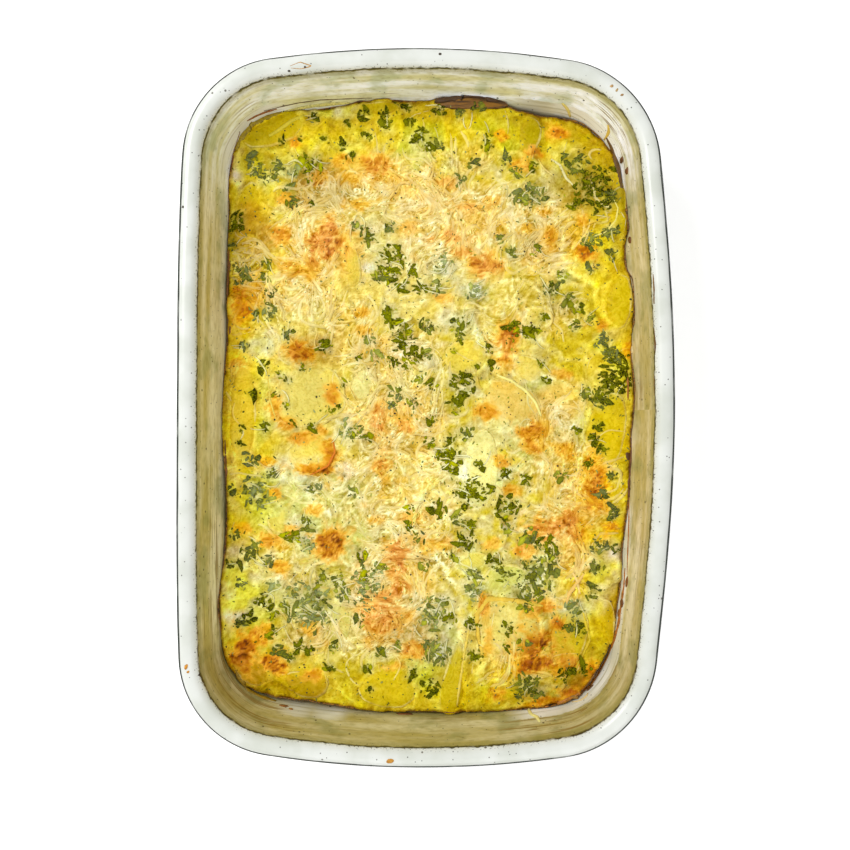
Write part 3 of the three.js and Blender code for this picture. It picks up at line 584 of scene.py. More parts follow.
def stain_colour(m, wrap, place):
    """The inner wall: olive and beige streaks that run round it, lighter towards the far end, and darker
    towards the near end and on the right side.
    """
    band = m.noise(1.0, 5.0, m.stretched(wrap, (1.2, 11.0, 1.0)))
    blotch = m.noise(2.4, 4.0, wrap)
    smudge = m.noise(5.5, 3.0, wrap)
    stain = m.mix(m.ramp(band, 0.36, 0.62), linear(240, 232, 188), linear(200, 186, 110))
    stain = m.mix(m.ramp(blotch, 0.5, 0.72, 0.0, 0.6), stain, linear(172, 160, 88))
    stain = m.mix(m.ramp(blotch, 0.48, 0.3, 0.0, 0.5), stain, linear(240, 236, 204))
    stain = m.mix(m.ramp(smudge, 0.5, 0.66, 0.0, 0.6), stain, linear(158, 160, 96))
    # Lighter towards the far end and darker towards the near end.
    stain = m.shaded(m.ramp(m.part(place, 1), 0.08, 0.14), stain, (1.32, 1.5, 2.6))
    stain = m.shaded(m.ramp(m.part(place, 1), -0.1, -0.14), stain, (0.74, 0.72, 0.62))
    grain = m.noise(1.0, 3.0, m.stretched(wrap, (22.0, 60.0, 1.0)))
    stain = m.shaded(m.ramp(grain, 0.5, 0.3), stain, (0.82, 0.8, 0.7))
    stain = m.shaded(m.ramp(grain, 0.5, 0.68), stain, (1.1, 1.11, 1.16))
    marks = m.line(m.noise(1.0, 2.0, m.stretched(wrap, (0.6, 24.0, 1.0))), 0.5, 0.004, 0.022)
    somewhere = m.ramp(m.noise(1.6, 2.0, wrap), 0.53, 0.66, 0.0, 0.8)
    stain = m.mix(m.times(marks, somewhere), stain, linear(138, 108, 34))
    # Darker on the right side.
    return m.shaded(m.ramp(m.part(place, 0), 0.085, 0.105), stain, (0.88, 0.83, 0.84))


def clean_share(m, place, moved):
    """Where the wall is clean: near the places listed, and low on the wall."""
    food = section_run(FOOD_EDGE, True)
    clean = 0.0
    for px, py, reach in CLEAN_WALL:
        clean = m.math("MAXIMUM", clean, near(m, place, px, py, reach))
    return m.times(clean, m.ramp(moved, food - 2.6, food - 1.6))


def near(m, place, px, py, reach):
    """Full near a place seen in the photograph, fading out over its reach in millimetres."""
    x, y = seen(px, py)
    inputs = {0: place, 1: (x * MM, y * MM, TOP_HEIGHT * MM)}
    away = m.node("VectorMath", inputs, operation="DISTANCE").outputs["Value"]
    return m.ramp(away, reach * MM * 0.3, reach * MM * 1.4, 1.0, 0.0)


def clean_wall_colour(m, wrap):
    """Bare glaze near the food, with faint scratches that run round the wall."""
    clean = m.mix(m.ramp(m.noise(2.6, 3.0, wrap), 0.35, 0.65), linear(240, 238, 224), linear(212, 208, 182))
    scratch = m.noise(1.0, 4.0, m.stretched(wrap, (2.0, 60.0, 1.0)))
    return m.mix(m.ramp(scratch, 0.52, 0.66, 0.0, 0.7), clean, linear(176, 168, 128))


def rim_edge(m, colour, wrap, moved, edge, inside):
    """The dark broken line where the glaze breaks over the rim, its pits, and the soft shade painted just
    inside it.
    """
    broken = m.ramp(m.noise(24.0, 4.0, wrap), 0.36, 0.52, 0.45, 1.0)
    colour = m.mix(m.times(m.line(moved, edge, 0.4, 1.1), broken), colour, linear(36, 32, 8))
    pits = m.ramp(m.noise(110.0, 3.0, wrap), 0.6, 0.66, 0.0, 0.9)
    colour = m.mix(m.times(pits, m.line(moved, edge, 1.0, 3.2)), colour, linear(40, 36, 12))
    # Painted shade: a soft olive band just inside the rim's edge.
    halo = m.times(m.line(moved, edge + 1.4, 0.4, 3.6), 0.55)
    return m.mix(m.times(halo, inside), colour, linear(148, 140, 76))


def speckled(m, colour, place):
    for scale, size, tone in SPECKLES:
        cells = m.node("TexVoronoi", {"Vector": place, "Scale": scale})
        chance = m.node("SeparateColor", {0: cells.outputs["Color"]}).outputs[0]
        dot = m.ramp(cells.outputs["Distance"], size, size + 0.06, 1.0, 0.0)
        colour = m.mix(m.times(dot, m.ramp(chance, 0.7, 0.78, 0.0, 0.85)), colour, tone)
    return colour


# Where the bake has shrunk back from the wall: place, reach along the wall, and depth.
PULLED_BACK = (
    (604, 676, 20, 3.0), (315, 716, 34, 2.6), (430, 722, 26, 1.8), (222, 300, 24, 1.4), (222, 500, 22, 1.6),
    (530, 96, 22, 2.2),
)


def pulled_back(x, y):
    return np.max([most * spot(x, y, px, py, reach) for px, py, reach, most in PULLED_BACK], axis=0)


# The bake's large form comes from the solids, read by rays from above and made smooth.
GRID_X = np.arange(-107.0, 107.0 + STEP, STEP)
GRID_Y = np.arange(-158.0, 158.0 + STEP, STEP)
MESH_X, MESH_Y = np.meshgrid(GRID_X, GRID_Y)
JUST_INSIDE = 1.001


class Grid:
    """A field over the dish that can be read anywhere."""

    def __init__(self, values):
        self.values = values

    def at(self, x, y):
        u = np.clip((np.asarray(x) - GRID_X[0]) / STEP, 0, len(GRID_X) - JUST_INSIDE)
        v = np.clip((np.asarray(y) - GRID_Y[0]) / STEP, 0, len(GRID_Y) - JUST_INSIDE)
        i, j = u.astype(int), v.astype(int)
        fu, fv = u - i, v - j
        low = self.values[j, i] * (1 - fu) + self.values[j, i + 1] * fu
        high = self.values[j + 1, i] * (1 - fu) + self.values[j + 1, i + 1] * fu
        return low * (1 - fv) + high * fv


def blur(values, sigma):
    """A Gaussian blur, its width in millimetres."""
    reach = int(math.ceil(3 * sigma / STEP))
    weights = np.exp(-0.5 * (np.arange(-reach, reach + 1) * STEP / sigma) ** 2)
    weights /= weights.sum()
    for axis in (0, 1):
        values = np.apply_along_axis(np.convolve, axis, values, weights, mode="same")
    return values


def height_from_above(tree, x, y):
    hit = tree.ray_cast(Vector((x, y, DISH_HEIGHT)), Vector((0, 0, -1)))[0]
    return hit.z if hit else np.nan


def large_form():
    """Heights read at every other place, filled in from wider round it where too few are known."""
    tree = ray_tree([node for name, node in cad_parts.items() if name != "dish"])
    coarse = np.full(MESH_X.shape, np.nan)
    for j in range(0, len(GRID_Y), 2):
        for i in range(0, len(GRID_X), 2):
            coarse[j, i] = height_from_above(tree, GRID_X[i], GRID_Y[j])
    known = np.isfinite(coarse) & (coarse > TOP_HEIGHT - HIDDEN_SIDE)
    known &= from_rim(MESH_X, MESH_Y) > wall_inset(TOP_HEIGHT)
    weights = [blur(known.astype(float), width) for width in (1.5, 6.0)]
    near, far = [blur(np.where(known, coarse, 0.0), width) for width in (1.5, 6.0)]
    near, far = near / np.maximum(weights[0], 1e-6), far / np.maximum(weights[1], 1e-6)
    share = smooth(0.02, 0.2, weights[0])
    return near * share + far * (1 - share)


FORM = Grid(large_form())

# Food gets lighter or darker by like steps in red, green and blue,
# so the weaker a colour is, the more it changes.
STEP_SHARES = np.array([0.92, 1.03, 1.0])
DISPLAY_POWER = 2.2
MOST_STEP = 4.2


def lit(colour, light):
    """A colour made lighter or darker by a factor for each place."""
    weakness = (colour[:, 1:2] / np.maximum(colour, 1e-4)) ** (1 / DISPLAY_POWER)
    return colour * np.maximum(light, 1e-3)[:, None] ** np.minimum(STEP_SHARES * weakness, MOST_STEP)


# Colours of the food.
TONES = {
    "gold": linear(240, 198, 82),
    "butter": linear(238, 215, 86),
    "lemon": linear(216, 193, 22),
    "yellow": linear(210, 184, 2),
    "olive": linear(186, 166, 0),
    "amber": linear(184, 140, 0),
    "pale": linear(233, 224, 136),
    "cream": linear(232, 232, 190),
    "milk": linear(236, 228, 214),
    "honey": linear(240, 190, 56),
    "mint": linear(206, 204, 86),
    "tan": linear(226, 178, 50),
}
GOLDEN_BROWNS = (linear(238, 186, 54), linear(218, 148, 22), linear(182, 108, 4), linear(104, 50, 0))
PINK_BROWNS = (linear(248, 200, 102), linear(238, 166, 70), linear(208, 128, 42), linear(138, 78, 18))
BURNT = linear(168, 106, 24)
GAP_SHADE = np.array([0.58, 0.5, 0.25])

# Patches of tone: place, half sizes in millimetres, strength, tone.
TONE_PATCHES = (
    (268, 128, 17, 10, 1.0, "yellow"), (260, 140, 7, 4, 0.9, "olive"), (320, 125, 12, 7, 0.5, "yellow"),
    (328, 109, 15, 3.5, 0.9, "cream"), (430, 112, 20, 6, 0.7, "yellow"), (526, 138, 8, 11, 1.0, "olive"),
    (560, 125, 14, 8, 0.6, "yellow"), (590, 155, 10, 8, 0.5, "yellow"), (480, 188, 4, 3, 0.8, "yellow"),
    (248, 199, 7, 8, 0.8, "yellow"), (236, 240, 4, 20, 0.7, "yellow"), (350, 268, 6, 12, 0.8, "yellow"),
    (243, 415, 8, 26, 1.0, "yellow"), (236, 470, 5, 12, 0.8, "olive"), (280, 445, 9, 7, 0.6, "yellow"),
    (240, 385, 8, 9, 0.5, "olive"), (604, 430, 12, 20, 1.0, "yellow"), (616, 300, 8, 14, 1.0, "yellow"),
    (596, 212, 9, 7, 0.8, "yellow"), (622, 212, 6, 12, 0.8, "yellow"), (612, 480, 8, 8, 0.5, "yellow"),
    (618, 245, 5, 12, 0.6, "olive"), (560, 355, 14, 10, 0.5, "yellow"), (480, 300, 12, 8, 0.3, "yellow"),
    (250, 668, 14, 9, 0.9, "amber"), (300, 682, 18, 7, 0.9, "yellow"), (345, 672, 9, 8, 0.6, "olive"),
    (390, 687, 15, 11, 1.0, "yellow"), (458, 680, 9, 18, 0.9, "yellow"), (445, 665, 6, 12, 0.6, "olive"),
    (570, 640, 12, 17, 0.9, "yellow"), (612, 622, 6, 15, 1.0, "yellow"), (600, 655, 7, 12, 0.7, "olive"),
    (588, 680, 12, 8, 0.9, "amber"), (560, 698, 16, 6, 0.9, "amber"), (614, 620, 4, 18, 0.6, "amber"),
    (510, 580, 15, 9, 0.7, "mint"), (478, 468, 11, 20, 1.0, "pale"), (470, 560, 10, 9, 0.7, "mint"),
    (238, 585, 7, 22, 0.9, "milk"), (250, 610, 12, 6, 0.7, "cream"), (560, 400, 14, 12, 0.8, "gold"),
    (252, 235, 10, 18, 0.6, "tan"), (605, 405, 8, 10, 0.6, "yellow"), (290, 470, 14, 7, 0.6, "cream"),
    (313, 182, 14, 9, 0.6, "gold"), (600, 575, 8, 14, 0.6, "milk"), (237, 480, 5, 22, 0.7, "pale"),
    (240, 420, 8, 60, 0.45, "gold"), (265, 515, 14, 12, 0.6, "mint"), (340, 560, 16, 10, 0.4, "mint"),
    (300, 600, 18, 12, 0.5, "mint"), (260, 575, 16, 12, 0.6, "cream"), (248, 600, 8, 7, 0.6, "cream"),
    (262, 345, 8, 7, 0.95, "cream"), (236, 170, 4, 12, 0.8, "milk"), (286, 172, 5, 3.5, 0.7, "cream"),
    (337, 112, 9, 3.5, 0.6, "cream"), (368, 268, 4, 3, 0.8, "cream"), (445, 268, 6, 4, 0.6, "cream"),
    (447, 318, 6, 5, 0.55, "cream"), (430, 363, 5, 4, 0.5, "cream"), (395, 352, 4, 3, 0.4, "cream"),
    (468, 292, 6, 4, 0.5, "cream"), (345, 470, 6, 4, 0.5, "cream"), (581, 607, 10, 6, 0.85, "cream"),
    (616, 560, 4, 12, 0.8, "milk"), (555, 690, 10, 4, 0.7, "cream"), (590, 560, 10, 10, 0.45, "cream"),
    (363, 385, 7, 8, 0.7, "pale"), (340, 622, 8, 14, 0.6, "pale"), (305, 395, 17, 17, 0.6, "pale"),
    (372, 243, 5, 8, 0.6, "pale"), (505, 415, 16, 14, 0.7, "pale"), (468, 357, 12, 11, 0.6, "yellow"),
    (512, 628, 17, 15, 0.6, "pale"), (330, 330, 14, 9, 0.4, "yellow"), (405, 322, 20, 14, 0.4, "yellow"),
    (560, 300, 16, 12, 0.4, "yellow"), (440, 215, 34, 20, 0.7, "gold"), (545, 230, 24, 20, 0.6, "gold"),
    (325, 250, 22, 22, 0.7, "gold"), (250, 290, 10, 14, 0.6, "gold"), (372, 175, 26, 10, 0.7, "gold"),
    (400, 430, 24, 18, 0.5, "gold"), (410, 510, 26, 14, 0.5, "gold"), (575, 490, 16, 24, 0.7, "gold"),
    (575, 560, 9, 22, 0.8, "gold"), (395, 600, 24, 24, 0.6, "gold"), (330, 350, 20, 10, 0.4, "gold"),
    (250, 540, 8, 6, 0.4, "gold"),
)

# Browned patches: place, half sizes in millimetres, strength.
BROWNED = (
    (372, 168, 8, 5, 0.75), (325, 238, 8, 9, 1.0), (320, 250, 6, 6, 0.6), (280, 238, 6, 5, 0.6),
    (290, 270, 5, 4, 0.5), (313, 268, 4, 6, 0.5), (340, 162, 5, 3, 0.4), (348, 180, 5, 3, 0.4),
    (285, 200, 5, 4, 0.35), (360, 205, 6, 3, 0.35), (405, 228, 5, 3, 0.3), (240, 305, 6, 8, 0.75),
    (293, 143, 3, 2.5, 0.5), (318, 178, 4, 3, 0.35), (532, 152, 4, 3, 0.6), (520, 167, 4, 3, 0.5),
    (500, 137, 4, 2.5, 0.4), (555, 132, 4, 3, 0.7), (442, 183, 5, 3, 0.4), (467, 208, 5, 3, 0.5),
    (490, 203, 4, 3, 0.45), (450, 238, 8, 4, 0.6), (460, 252, 5, 3, 0.5), (483, 266, 6, 4.5, 0.85),
    (551, 235, 4, 4, 0.5), (583, 252, 5, 4, 0.85), (540, 212, 4, 3, 0.4), (525, 230, 4, 3, 0.35),
    (580, 220, 4, 3, 0.4), (442, 298, 4, 2.5, 0.35), (300, 352, 6, 4.5, 0.85), (362, 312, 4, 3, 0.4),
    (362, 330, 4, 3, 0.35), (238, 367, 4, 3, 0.4), (275, 408, 4, 6, 0.5), (287, 425, 4, 3, 0.45),
    (303, 438, 6, 2.5, 0.5), (322, 430, 3, 3, 0.4), (333, 396, 3.5, 5, 0.8), (380, 418, 4, 8, 0.6),
    (405, 425, 4, 4, 0.7), (385, 465, 5, 4, 0.6), (268, 463, 4, 3, 0.35), (275, 495, 4, 3, 0.4),
    (507, 340, 5, 8, 0.9), (600, 325, 4, 3, 0.4), (627, 350, 3, 4, 0.5), (490, 412, 6, 4, 0.6),
    (533, 430, 6, 4.5, 0.8), (533, 447, 5, 3, 0.55), (563, 450, 5, 4, 0.45), (595, 480, 5, 12, 0.75),
    (503, 462, 4, 3, 0.4), (512, 488, 4, 3, 0.4), (558, 373, 5, 3, 0.35), (332, 546, 6, 6.5, 0.95),
    (397, 552, 6, 5, 0.9), (268, 543, 5, 3.5, 0.6), (282, 568, 4, 3, 0.4), (243, 530, 4, 3, 0.4),
    (315, 510, 5, 3, 0.4), (290, 530, 4, 3, 0.35), (412, 517, 5, 3, 0.4), (378, 520, 5, 3, 0.35),
    (385, 615, 10, 9, 0.6), (397, 572, 5, 4, 0.6), (403, 587, 5, 4, 0.6), (388, 595, 6, 3, 0.5),
    (310, 632, 5, 3, 0.4), (275, 665, 7, 5, 1.0), (247, 655, 6, 9, 1.0), (312, 676, 5, 3, 0.55),
    (415, 650, 5, 4, 0.55), (393, 668, 5, 3, 0.4), (537, 640, 9, 6, 1.0), (533, 660, 10, 5, 1.0),
    (541, 644, 4, 3, 1.0), (528, 662, 4, 2.5, 1.0), (530, 610, 6, 5, 0.3), (548, 605, 5, 3, 0.6),
    (558, 622, 4, 3, 0.8), (570, 660, 5, 3.5, 0.6), (568, 515, 4, 5, 1.0), (566, 517, 2, 3, 1.0),
    (550, 525, 11, 6, 0.75), (575, 530, 6, 5, 0.6), (612, 525, 4, 3, 0.5), (525, 550, 5, 4, 0.45),
    (493, 543, 5, 3, 0.35), (440, 545, 8, 5, 0.35), (490, 635, 3, 8, 0.4), (500, 695, 6, 3, 0.4),
    (485, 605, 3, 5, 0.5), (313, 470, 10, 3, 0.85), (330, 455, 3, 6, 0.8), (575, 690, 9, 3, 0.55),
    (553, 700, 8, 2.5, 0.5), (597, 672, 4, 6, 0.5), (535, 706, 8, 2, 0.4), (256, 640, 8, 6, 0.35),
    (590, 684, 4, 4, 0.5),
)

# Where thick cheese browns pink rather than golden: place and reach.
PINK_CENTRES = (
    (385, 600, 30), (397, 552, 14), (450, 235, 26), (568, 520, 10), (320, 245, 12), (380, 430, 16),
)

# Parsley: place, reach in millimetres, and how far the cheese veils it.
PARSLEY = (
    (312, 118, 2.5, 0), (362, 115, 3, 0), (345, 122, 2, 0), (382, 117, 2.5, 0), (385, 127, 3, 0),
    (365, 136, 2.5, 0), (408, 123, 2.5, 0), (405, 108, 3, 0), (395, 103, 2, 0), (420, 134, 3, 0),
    (414, 141, 2.5, 0), (340, 145, 2.5, 0), (348, 155, 2.5, 0), (321, 139, 2, 0), (298, 139, 1.5, 0),
    (280, 141, 1.5, 0), (250, 158, 3, 0.2), (253, 168, 4, 0.2), (265, 178, 4, 0.3), (275, 168, 4, 0.2),
    (308, 168, 7, 0), (292, 172, 3, 0.4), (287, 187, 2.5, 0.2), (291, 203, 3, 0.1), (311, 206, 2, 0),
    (232, 222, 5, 0), (229, 245, 3, 0.2), (240, 275, 6, 0.2), (265, 265, 3, 0.1), (262, 280, 3, 0.1),
    (270, 293, 2.5, 0.1), (354, 228, 3, 0.2), (366, 237, 4, 0.1), (388, 228, 3, 0.2), (390, 259, 7, 0),
    (378, 275, 4, 0.1), (393, 275, 4, 0), (402, 287, 3, 0), (410, 270, 3, 0), (420, 288, 3.5, 0),
    (437, 112, 3, 0), (475, 112, 3, 0.1), (458, 116, 2.5, 0.1), (425, 148, 3, 0), (437, 148, 2.5, 0.2),
    (485, 143, 3.5, 0), (470, 166, 3, 0.1), (530, 168, 3, 0), (514, 172, 3, 0.1), (572, 163, 6, 0.1),
    (612, 170, 2.5, 0), (590, 187, 9, 0), (605, 200, 4, 0.1), (532, 195, 6, 0.2), (518, 198, 4, 0.2),
    (571, 205, 3, 0), (594, 211, 2, 0), (603, 208, 2.5, 0), (590, 238, 3, 0.3), (606, 232, 4, 0.2),
    (590, 245, 4, 0.2), (583, 245, 2.5, 0.2), (610, 254, 3, 0.2), (536, 250, 3, 0.1), (510, 253, 3, 0.2),
    (497, 240, 2.5, 0.3), (440, 265, 6, 0.7), (437, 287, 4, 0.2), (550, 290, 4, 0.1), (560, 275, 3, 0.1),
    (590, 268, 3, 0.2), (475, 292, 5, 0.7), (268, 314, 4, 0.3), (254, 315, 3, 0.4), (287, 335, 3, 0.2),
    (243, 347, 2.5, 0.4), (323, 347, 4, 0), (263, 367, 3, 0), (302, 368, 2, 0), (370, 340, 3, 0.2),
    (388, 314, 4, 0), (395, 322, 3, 0), (405, 330, 3.5, 0), (398, 338, 3.5, 0), (405, 345, 6, 0),
    (415, 355, 4, 0), (425, 355, 3, 0.2), (425, 325, 3, 0.1), (393, 363, 3, 0), (405, 366, 3, 0),
    (420, 378, 3, 0.2), (376, 355, 3, 0.2), (357, 357, 2, 0), (343, 385, 2, 0), (338, 410, 2, 0),
    (330, 413, 2, 0), (312, 427, 2.5, 0), (293, 425, 2, 0), (348, 430, 5, 0.5), (357, 433, 3.5, 0.1),
    (367, 438, 2.5, 0), (397, 395, 3.5, 0.2), (393, 405, 3, 0.4), (415, 403, 3, 0.1), (287, 406, 2, 0),
    (277, 396, 2, 0), (281, 376, 2, 0), (288, 382, 2, 0), (252, 395, 2.5, 0), (265, 428, 2.5, 0),
    (243, 430, 2, 0), (240, 444, 2, 0), (247, 460, 3, 0.2), (256, 463, 2.5, 0.1), (273, 474, 3, 0.2),
    (257, 492, 8, 0.38), (233, 492, 3, 0.1), (353, 492, 3, 0.2), (428, 443, 3, 0), (312, 488, 4, 0.3),
    (432, 385, 2.5, 0), (430, 418, 2.5, 0), (460, 327, 5, 0.1), (431, 328, 2.5, 0.1), (515, 330, 5, 0),
    (530, 332, 4, 0), (590, 318, 3, 0.1), (568, 300, 4, 0.1), (576, 308, 3, 0), (575, 325, 3, 0.1),
    (541, 318, 2.5, 0), (602, 342, 5, 0.3), (613, 355, 5, 0.2), (620, 370, 8, 0), (605, 387, 7, 0),
    (625, 383, 4, 0), (587, 393, 4, 0.1), (598, 400, 4, 0.1), (598, 425, 3, 0), (593, 437, 3, 0),
    (602, 448, 2.5, 0), (588, 462, 2.5, 0), (562, 475, 3, 0.1), (575, 428, 2.5, 0), (540, 363, 2, 0),
    (544, 380, 2.5, 0), (491, 365, 2.5, 0), (474, 366, 2, 0), (487, 350, 2.5, 0), (453, 350, 2, 0),
    (460, 342, 2, 0), (462, 385, 6, 0), (455, 405, 4, 0), (467, 433, 3.5, 0.1), (450, 440, 3, 0),
    (438, 453, 3, 0), (450, 456, 6, 0), (453, 472, 4, 0), (480, 465, 2.5, 0), (506, 473, 3, 0),
    (525, 478, 3, 0), (470, 492, 7.5, 0), (490, 487, 3, 0), (508, 507, 6, 0), (603, 490, 4, 0.2),
    (610, 475, 3, 0.1), (235, 535, 3, 0.1), (250, 553, 4.5, 0.1), (258, 545, 3, 0.2), (268, 563, 3, 0.2),
    (235, 565, 3, 0.1), (243, 585, 3, 0.4), (275, 587, 3, 0.5), (290, 537, 3, 0), (296, 538, 2.5, 0),
    (308, 525, 4, 0.1), (310, 545, 4, 0.5), (322, 576, 3, 0.1), (340, 583, 3.5, 0.1), (308, 603, 11, 0.4),
    (320, 620, 6, 0.5), (368, 590, 9, 0.45), (372, 575, 7, 0.5), (365, 578, 2.5, 0), (363, 555, 3, 0),
    (385, 565, 2.5, 0.1), (362, 620, 3, 0.1), (265, 603, 4, 0), (273, 616, 3, 0), (286, 607, 3, 0.1),
    (250, 617, 3, 0), (243, 622, 3, 0.1), (273, 635, 3.5, 0), (277, 650, 3, 0.1), (301, 648, 3, 0),
    (310, 652, 2.5, 0), (292, 658, 3, 0.1), (336, 647, 3, 0.1), (332, 668, 2.5, 0), (368, 668, 2.5, 0),
    (372, 688, 2, 0), (383, 653, 3, 0.1), (397, 647, 3, 0.2), (413, 674, 3, 0), (430, 687, 5, 0),
    (410, 528, 3.5, 0), (420, 538, 3, 0.1), (428, 566, 3, 0.1), (410, 508, 2.5, 0), (435, 507, 4, 0),
    (441, 512, 3, 0), (457, 520, 4, 0.1), (470, 525, 3, 0), (467, 541, 5, 0), (454, 555, 3, 0.1),
    (495, 560, 4, 0), (505, 573, 4, 0.1), (508, 525, 3, 0.1), (533, 537, 5, 0.1), (547, 543, 5, 0),
    (553, 555, 4, 0.1), (537, 575, 10, 0.15), (530, 597, 6, 0.1), (475, 575, 4, 0.2), (478, 590, 5, 0.5),
    (432, 615, 8, 0.5), (440, 603, 5, 0.2), (438, 650, 7, 0.2), (452, 617, 3, 0), (472, 620, 4, 0),
    (507, 627, 3, 0), (508, 645, 2, 0), (524, 643, 3, 0.1), (478, 656, 3.5, 0), (529, 687, 7.5, 0.1),
    (575, 608, 5, 0.5), (573, 625, 4, 0.1), (583, 630, 3, 0), (568, 672, 4, 0), (586, 668, 3.5, 0),
    (597, 565, 4, 0.2), (593, 590, 4, 0.1), (613, 510, 4, 0.1), (600, 545, 4, 0.2), (620, 548, 3, 0.1),
    (345, 595, 4, 0.2), (505, 160, 3, 0.2), (458, 180, 2.5, 0.3),
)

# Melted cheese lies thickest here: place, half sizes in millimetres, thickness.
VEILS = (
    (250, 275, 10, 20, 0.8), (300, 250, 18, 22, 0.8), (330, 200, 18, 13, 0.9), (385, 190, 22, 14, 0.9),
    (440, 215, 24, 18, 0.9), (500, 215, 20, 15, 0.8), (545, 240, 18, 18, 0.8), (580, 225, 8, 10, 0.4),
    (300, 300, 18, 12, 0.8), (350, 320, 18, 10, 0.6), (440, 250, 20, 12, 0.7), (400, 265, 10, 8, 0.3),
    (375, 355, 18, 14, 0.8), (420, 350, 14, 14, 0.6), (385, 420, 22, 20, 0.8), (425, 410, 14, 16, 0.8),
    (400, 470, 26, 14, 0.7), (350, 500, 20, 12, 0.6), (410, 520, 28, 12, 0.7), (330, 470, 12, 10, 0.4),
    (545, 420, 14, 12, 0.7), (560, 450, 16, 16, 0.8), (585, 480, 14, 16, 0.9), (560, 520, 18, 12, 0.9),
    (575, 560, 9, 20, 0.9), (600, 520, 8, 16, 0.6), (530, 480, 10, 10, 0.4), (395, 560, 24, 14, 0.9),
    (390, 600, 22, 18, 0.9), (420, 590, 10, 14, 0.6), (350, 640, 18, 10, 0.5), (310, 635, 18, 12, 0.5),
    (270, 560, 18, 12, 0.4), (300, 580, 12, 10, 0.4), (440, 560, 12, 14, 0.6), (545, 660, 16, 12, 0.4),
    (520, 300, 16, 10, 0.4), (560, 320, 12, 10, 0.4), (480, 320, 12, 10, 0.4), (260, 330, 12, 6, 0.5),
    (500, 660, 12, 14, 0.6), (400, 640, 22, 10, 0.6), (460, 160, 22, 8, 0.5), (560, 190, 12, 6, 0.3),
)

# Where the bake is painted darker or lighter than round it, partly painted shade such as under the far wall
# and partly its own tone: place, half sizes in millimetres, share of light.
LIGHTS = (
    (596, 140, 18, 18, 0.68), (520, 116, 26, 8, 0.86), (440, 112, 30, 7, 0.74), (590, 190, 18, 14, 0.66),
    (318, 190, 17, 12, 0.58), (250, 240, 12, 18, 0.62), (250, 300, 11, 12, 0.74), (312, 352, 14, 10, 0.7),
    (370, 350, 9, 8, 0.8), (550, 180, 12, 10, 0.8), (300, 645, 22, 12, 0.84), (300, 172, 16, 8, 0.84),
    (550, 240, 16, 8, 0.88), (435, 635, 12, 10, 0.86), (545, 640, 18, 14, 0.84), (275, 690, 26, 8, 0.86),
    (306, 600, 12, 11, 0.86), (257, 492, 9, 9, 0.84), (372, 585, 9, 9, 0.9), (262, 345, 8, 8, 0.86),
    (313, 165, 9, 8, 0.84), (258, 168, 11, 9, 0.82), (603, 575, 9, 12, 0.82), (590, 187, 12, 10, 0.78),
    (305, 395, 15, 14, 0.9), (468, 357, 10, 9, 0.9), (390, 687, 14, 10, 1.12), (360, 120, 26, 8, 0.84),
    (530, 410, 14, 14, 0.92), (545, 300, 12, 8, 0.86), (565, 684, 28, 11, 0.64), (600, 515, 9, 10, 0.86),
    (395, 630, 26, 10, 0.78), (484, 350, 15, 12, 1.34), (455, 470, 24, 16, 1.26), (313, 462, 12, 8, 1.06),
    (428, 512, 16, 12, 1.22), (480, 568, 26, 12, 1.16), (290, 500, 22, 16, 1.12), (545, 580, 16, 10, 1.12),
    (560, 470, 12, 12, 1.1), (600, 430, 12, 14, 1.1), (612, 300, 8, 24, 0.98), (238, 400, 9, 34, 1.14),
    (240, 560, 9, 24, 1.04),
)

# Cheese lies in swirls: place, reach in millimetres, and way round.
SWIRLS = (
    (325, 235, 16, 1.0), (408, 368, 17, 1.0), (395, 520, 16, -1.0), (400, 600, 20, 1.0),
    (480, 235, 18, -1.0), (440, 160, 16, 1.0), (555, 240, 14, 1.0), (310, 340, 12, -1.0),
    (560, 440, 15, 1.0), (300, 290, 14, -1.0),
)


def patch_mask(x, y, px, py, half_x, half_y, warp):
    cx, cy = seen(px, py)
    distance = np.hypot((x - cx) / half_x, (y - cy) / half_y)
    return smooth(1.35, 0.45, distance + warp)


def browned(x, y):
    """How browned the surface is, from 0 to 1."""
    warp = 0.75 * noise("browned_shape", x, y) + 0.25 * noise("browned_grit", x, y)
    left = np.ones_like(x)
    halo = np.zeros_like(x)
    for px, py, half_x, half_y, strength in BROWNED:
        left = left * (1 - 0.9 * strength * patch_mask(x, y, px, py, half_x, half_y, warp))
        halo = np.maximum(halo, strength * patch_mask(x, y, px, py, half_x * 1.9, half_y * 1.9, warp))
    speckle = smooth(0.2, 0.7, noise("browned_specks", x, y)) * 0.25 * veil_cover(x, y)
    brown = np.clip(1 - left * (1 - speckle) * (1 - 0.2 * halo), 0, 1)
    uneven = 0.42 * NOODLES.at(x, y) + 0.25 * FIBRES.at(x, y) + 0.4 * noise("browned_depth", x, y)
    return np.clip(brown * (0.8 - 0.62 * uneven), 0, 1)


def veil_cover(x, y):
    """How thickly the cheese lies, from 0 to 1."""
    warp = 0.4 * noise("veil_shape", x, y)
    left = np.ones_like(x)
    for px, py, half_x, half_y, strength in VEILS:
        left = left * (1 - strength * patch_mask(x, y, px, py, half_x, half_y, warp))
    return np.clip(1 - left + 0.12 * noise("veil_depth", x, y), 0.04, 1.0)


def stringy(x, y):
    """Where shreds still show in the melted cheese, from 0 to 1."""
    return smooth(-0.4, 0.2, noise("stringy", x, y))


def toned(x, y, base):
    """Mixes the tone patches over a base colour for each place."""
    warp = 0.35 * noise("tone_shape", x, y)
    colour = base * np.ones((len(x), 1))
    for px, py, half_x, half_y, strength, tone in TONE_PATCHES:
        colour = mixed(colour, TONES[tone], strength * patch_mask(x, y, px, py, half_x, half_y, warp))
    return colour


def local_light(x, y):
    warp = 0.3 * noise("light_shape", x, y)
    light = np.ones_like(x)
    for px, py, half_x, half_y, share in LIGHTS:
        light = light * (1 + (share - 1) * patch_mask(x, y, px, py, half_x, half_y, warp))
    return light


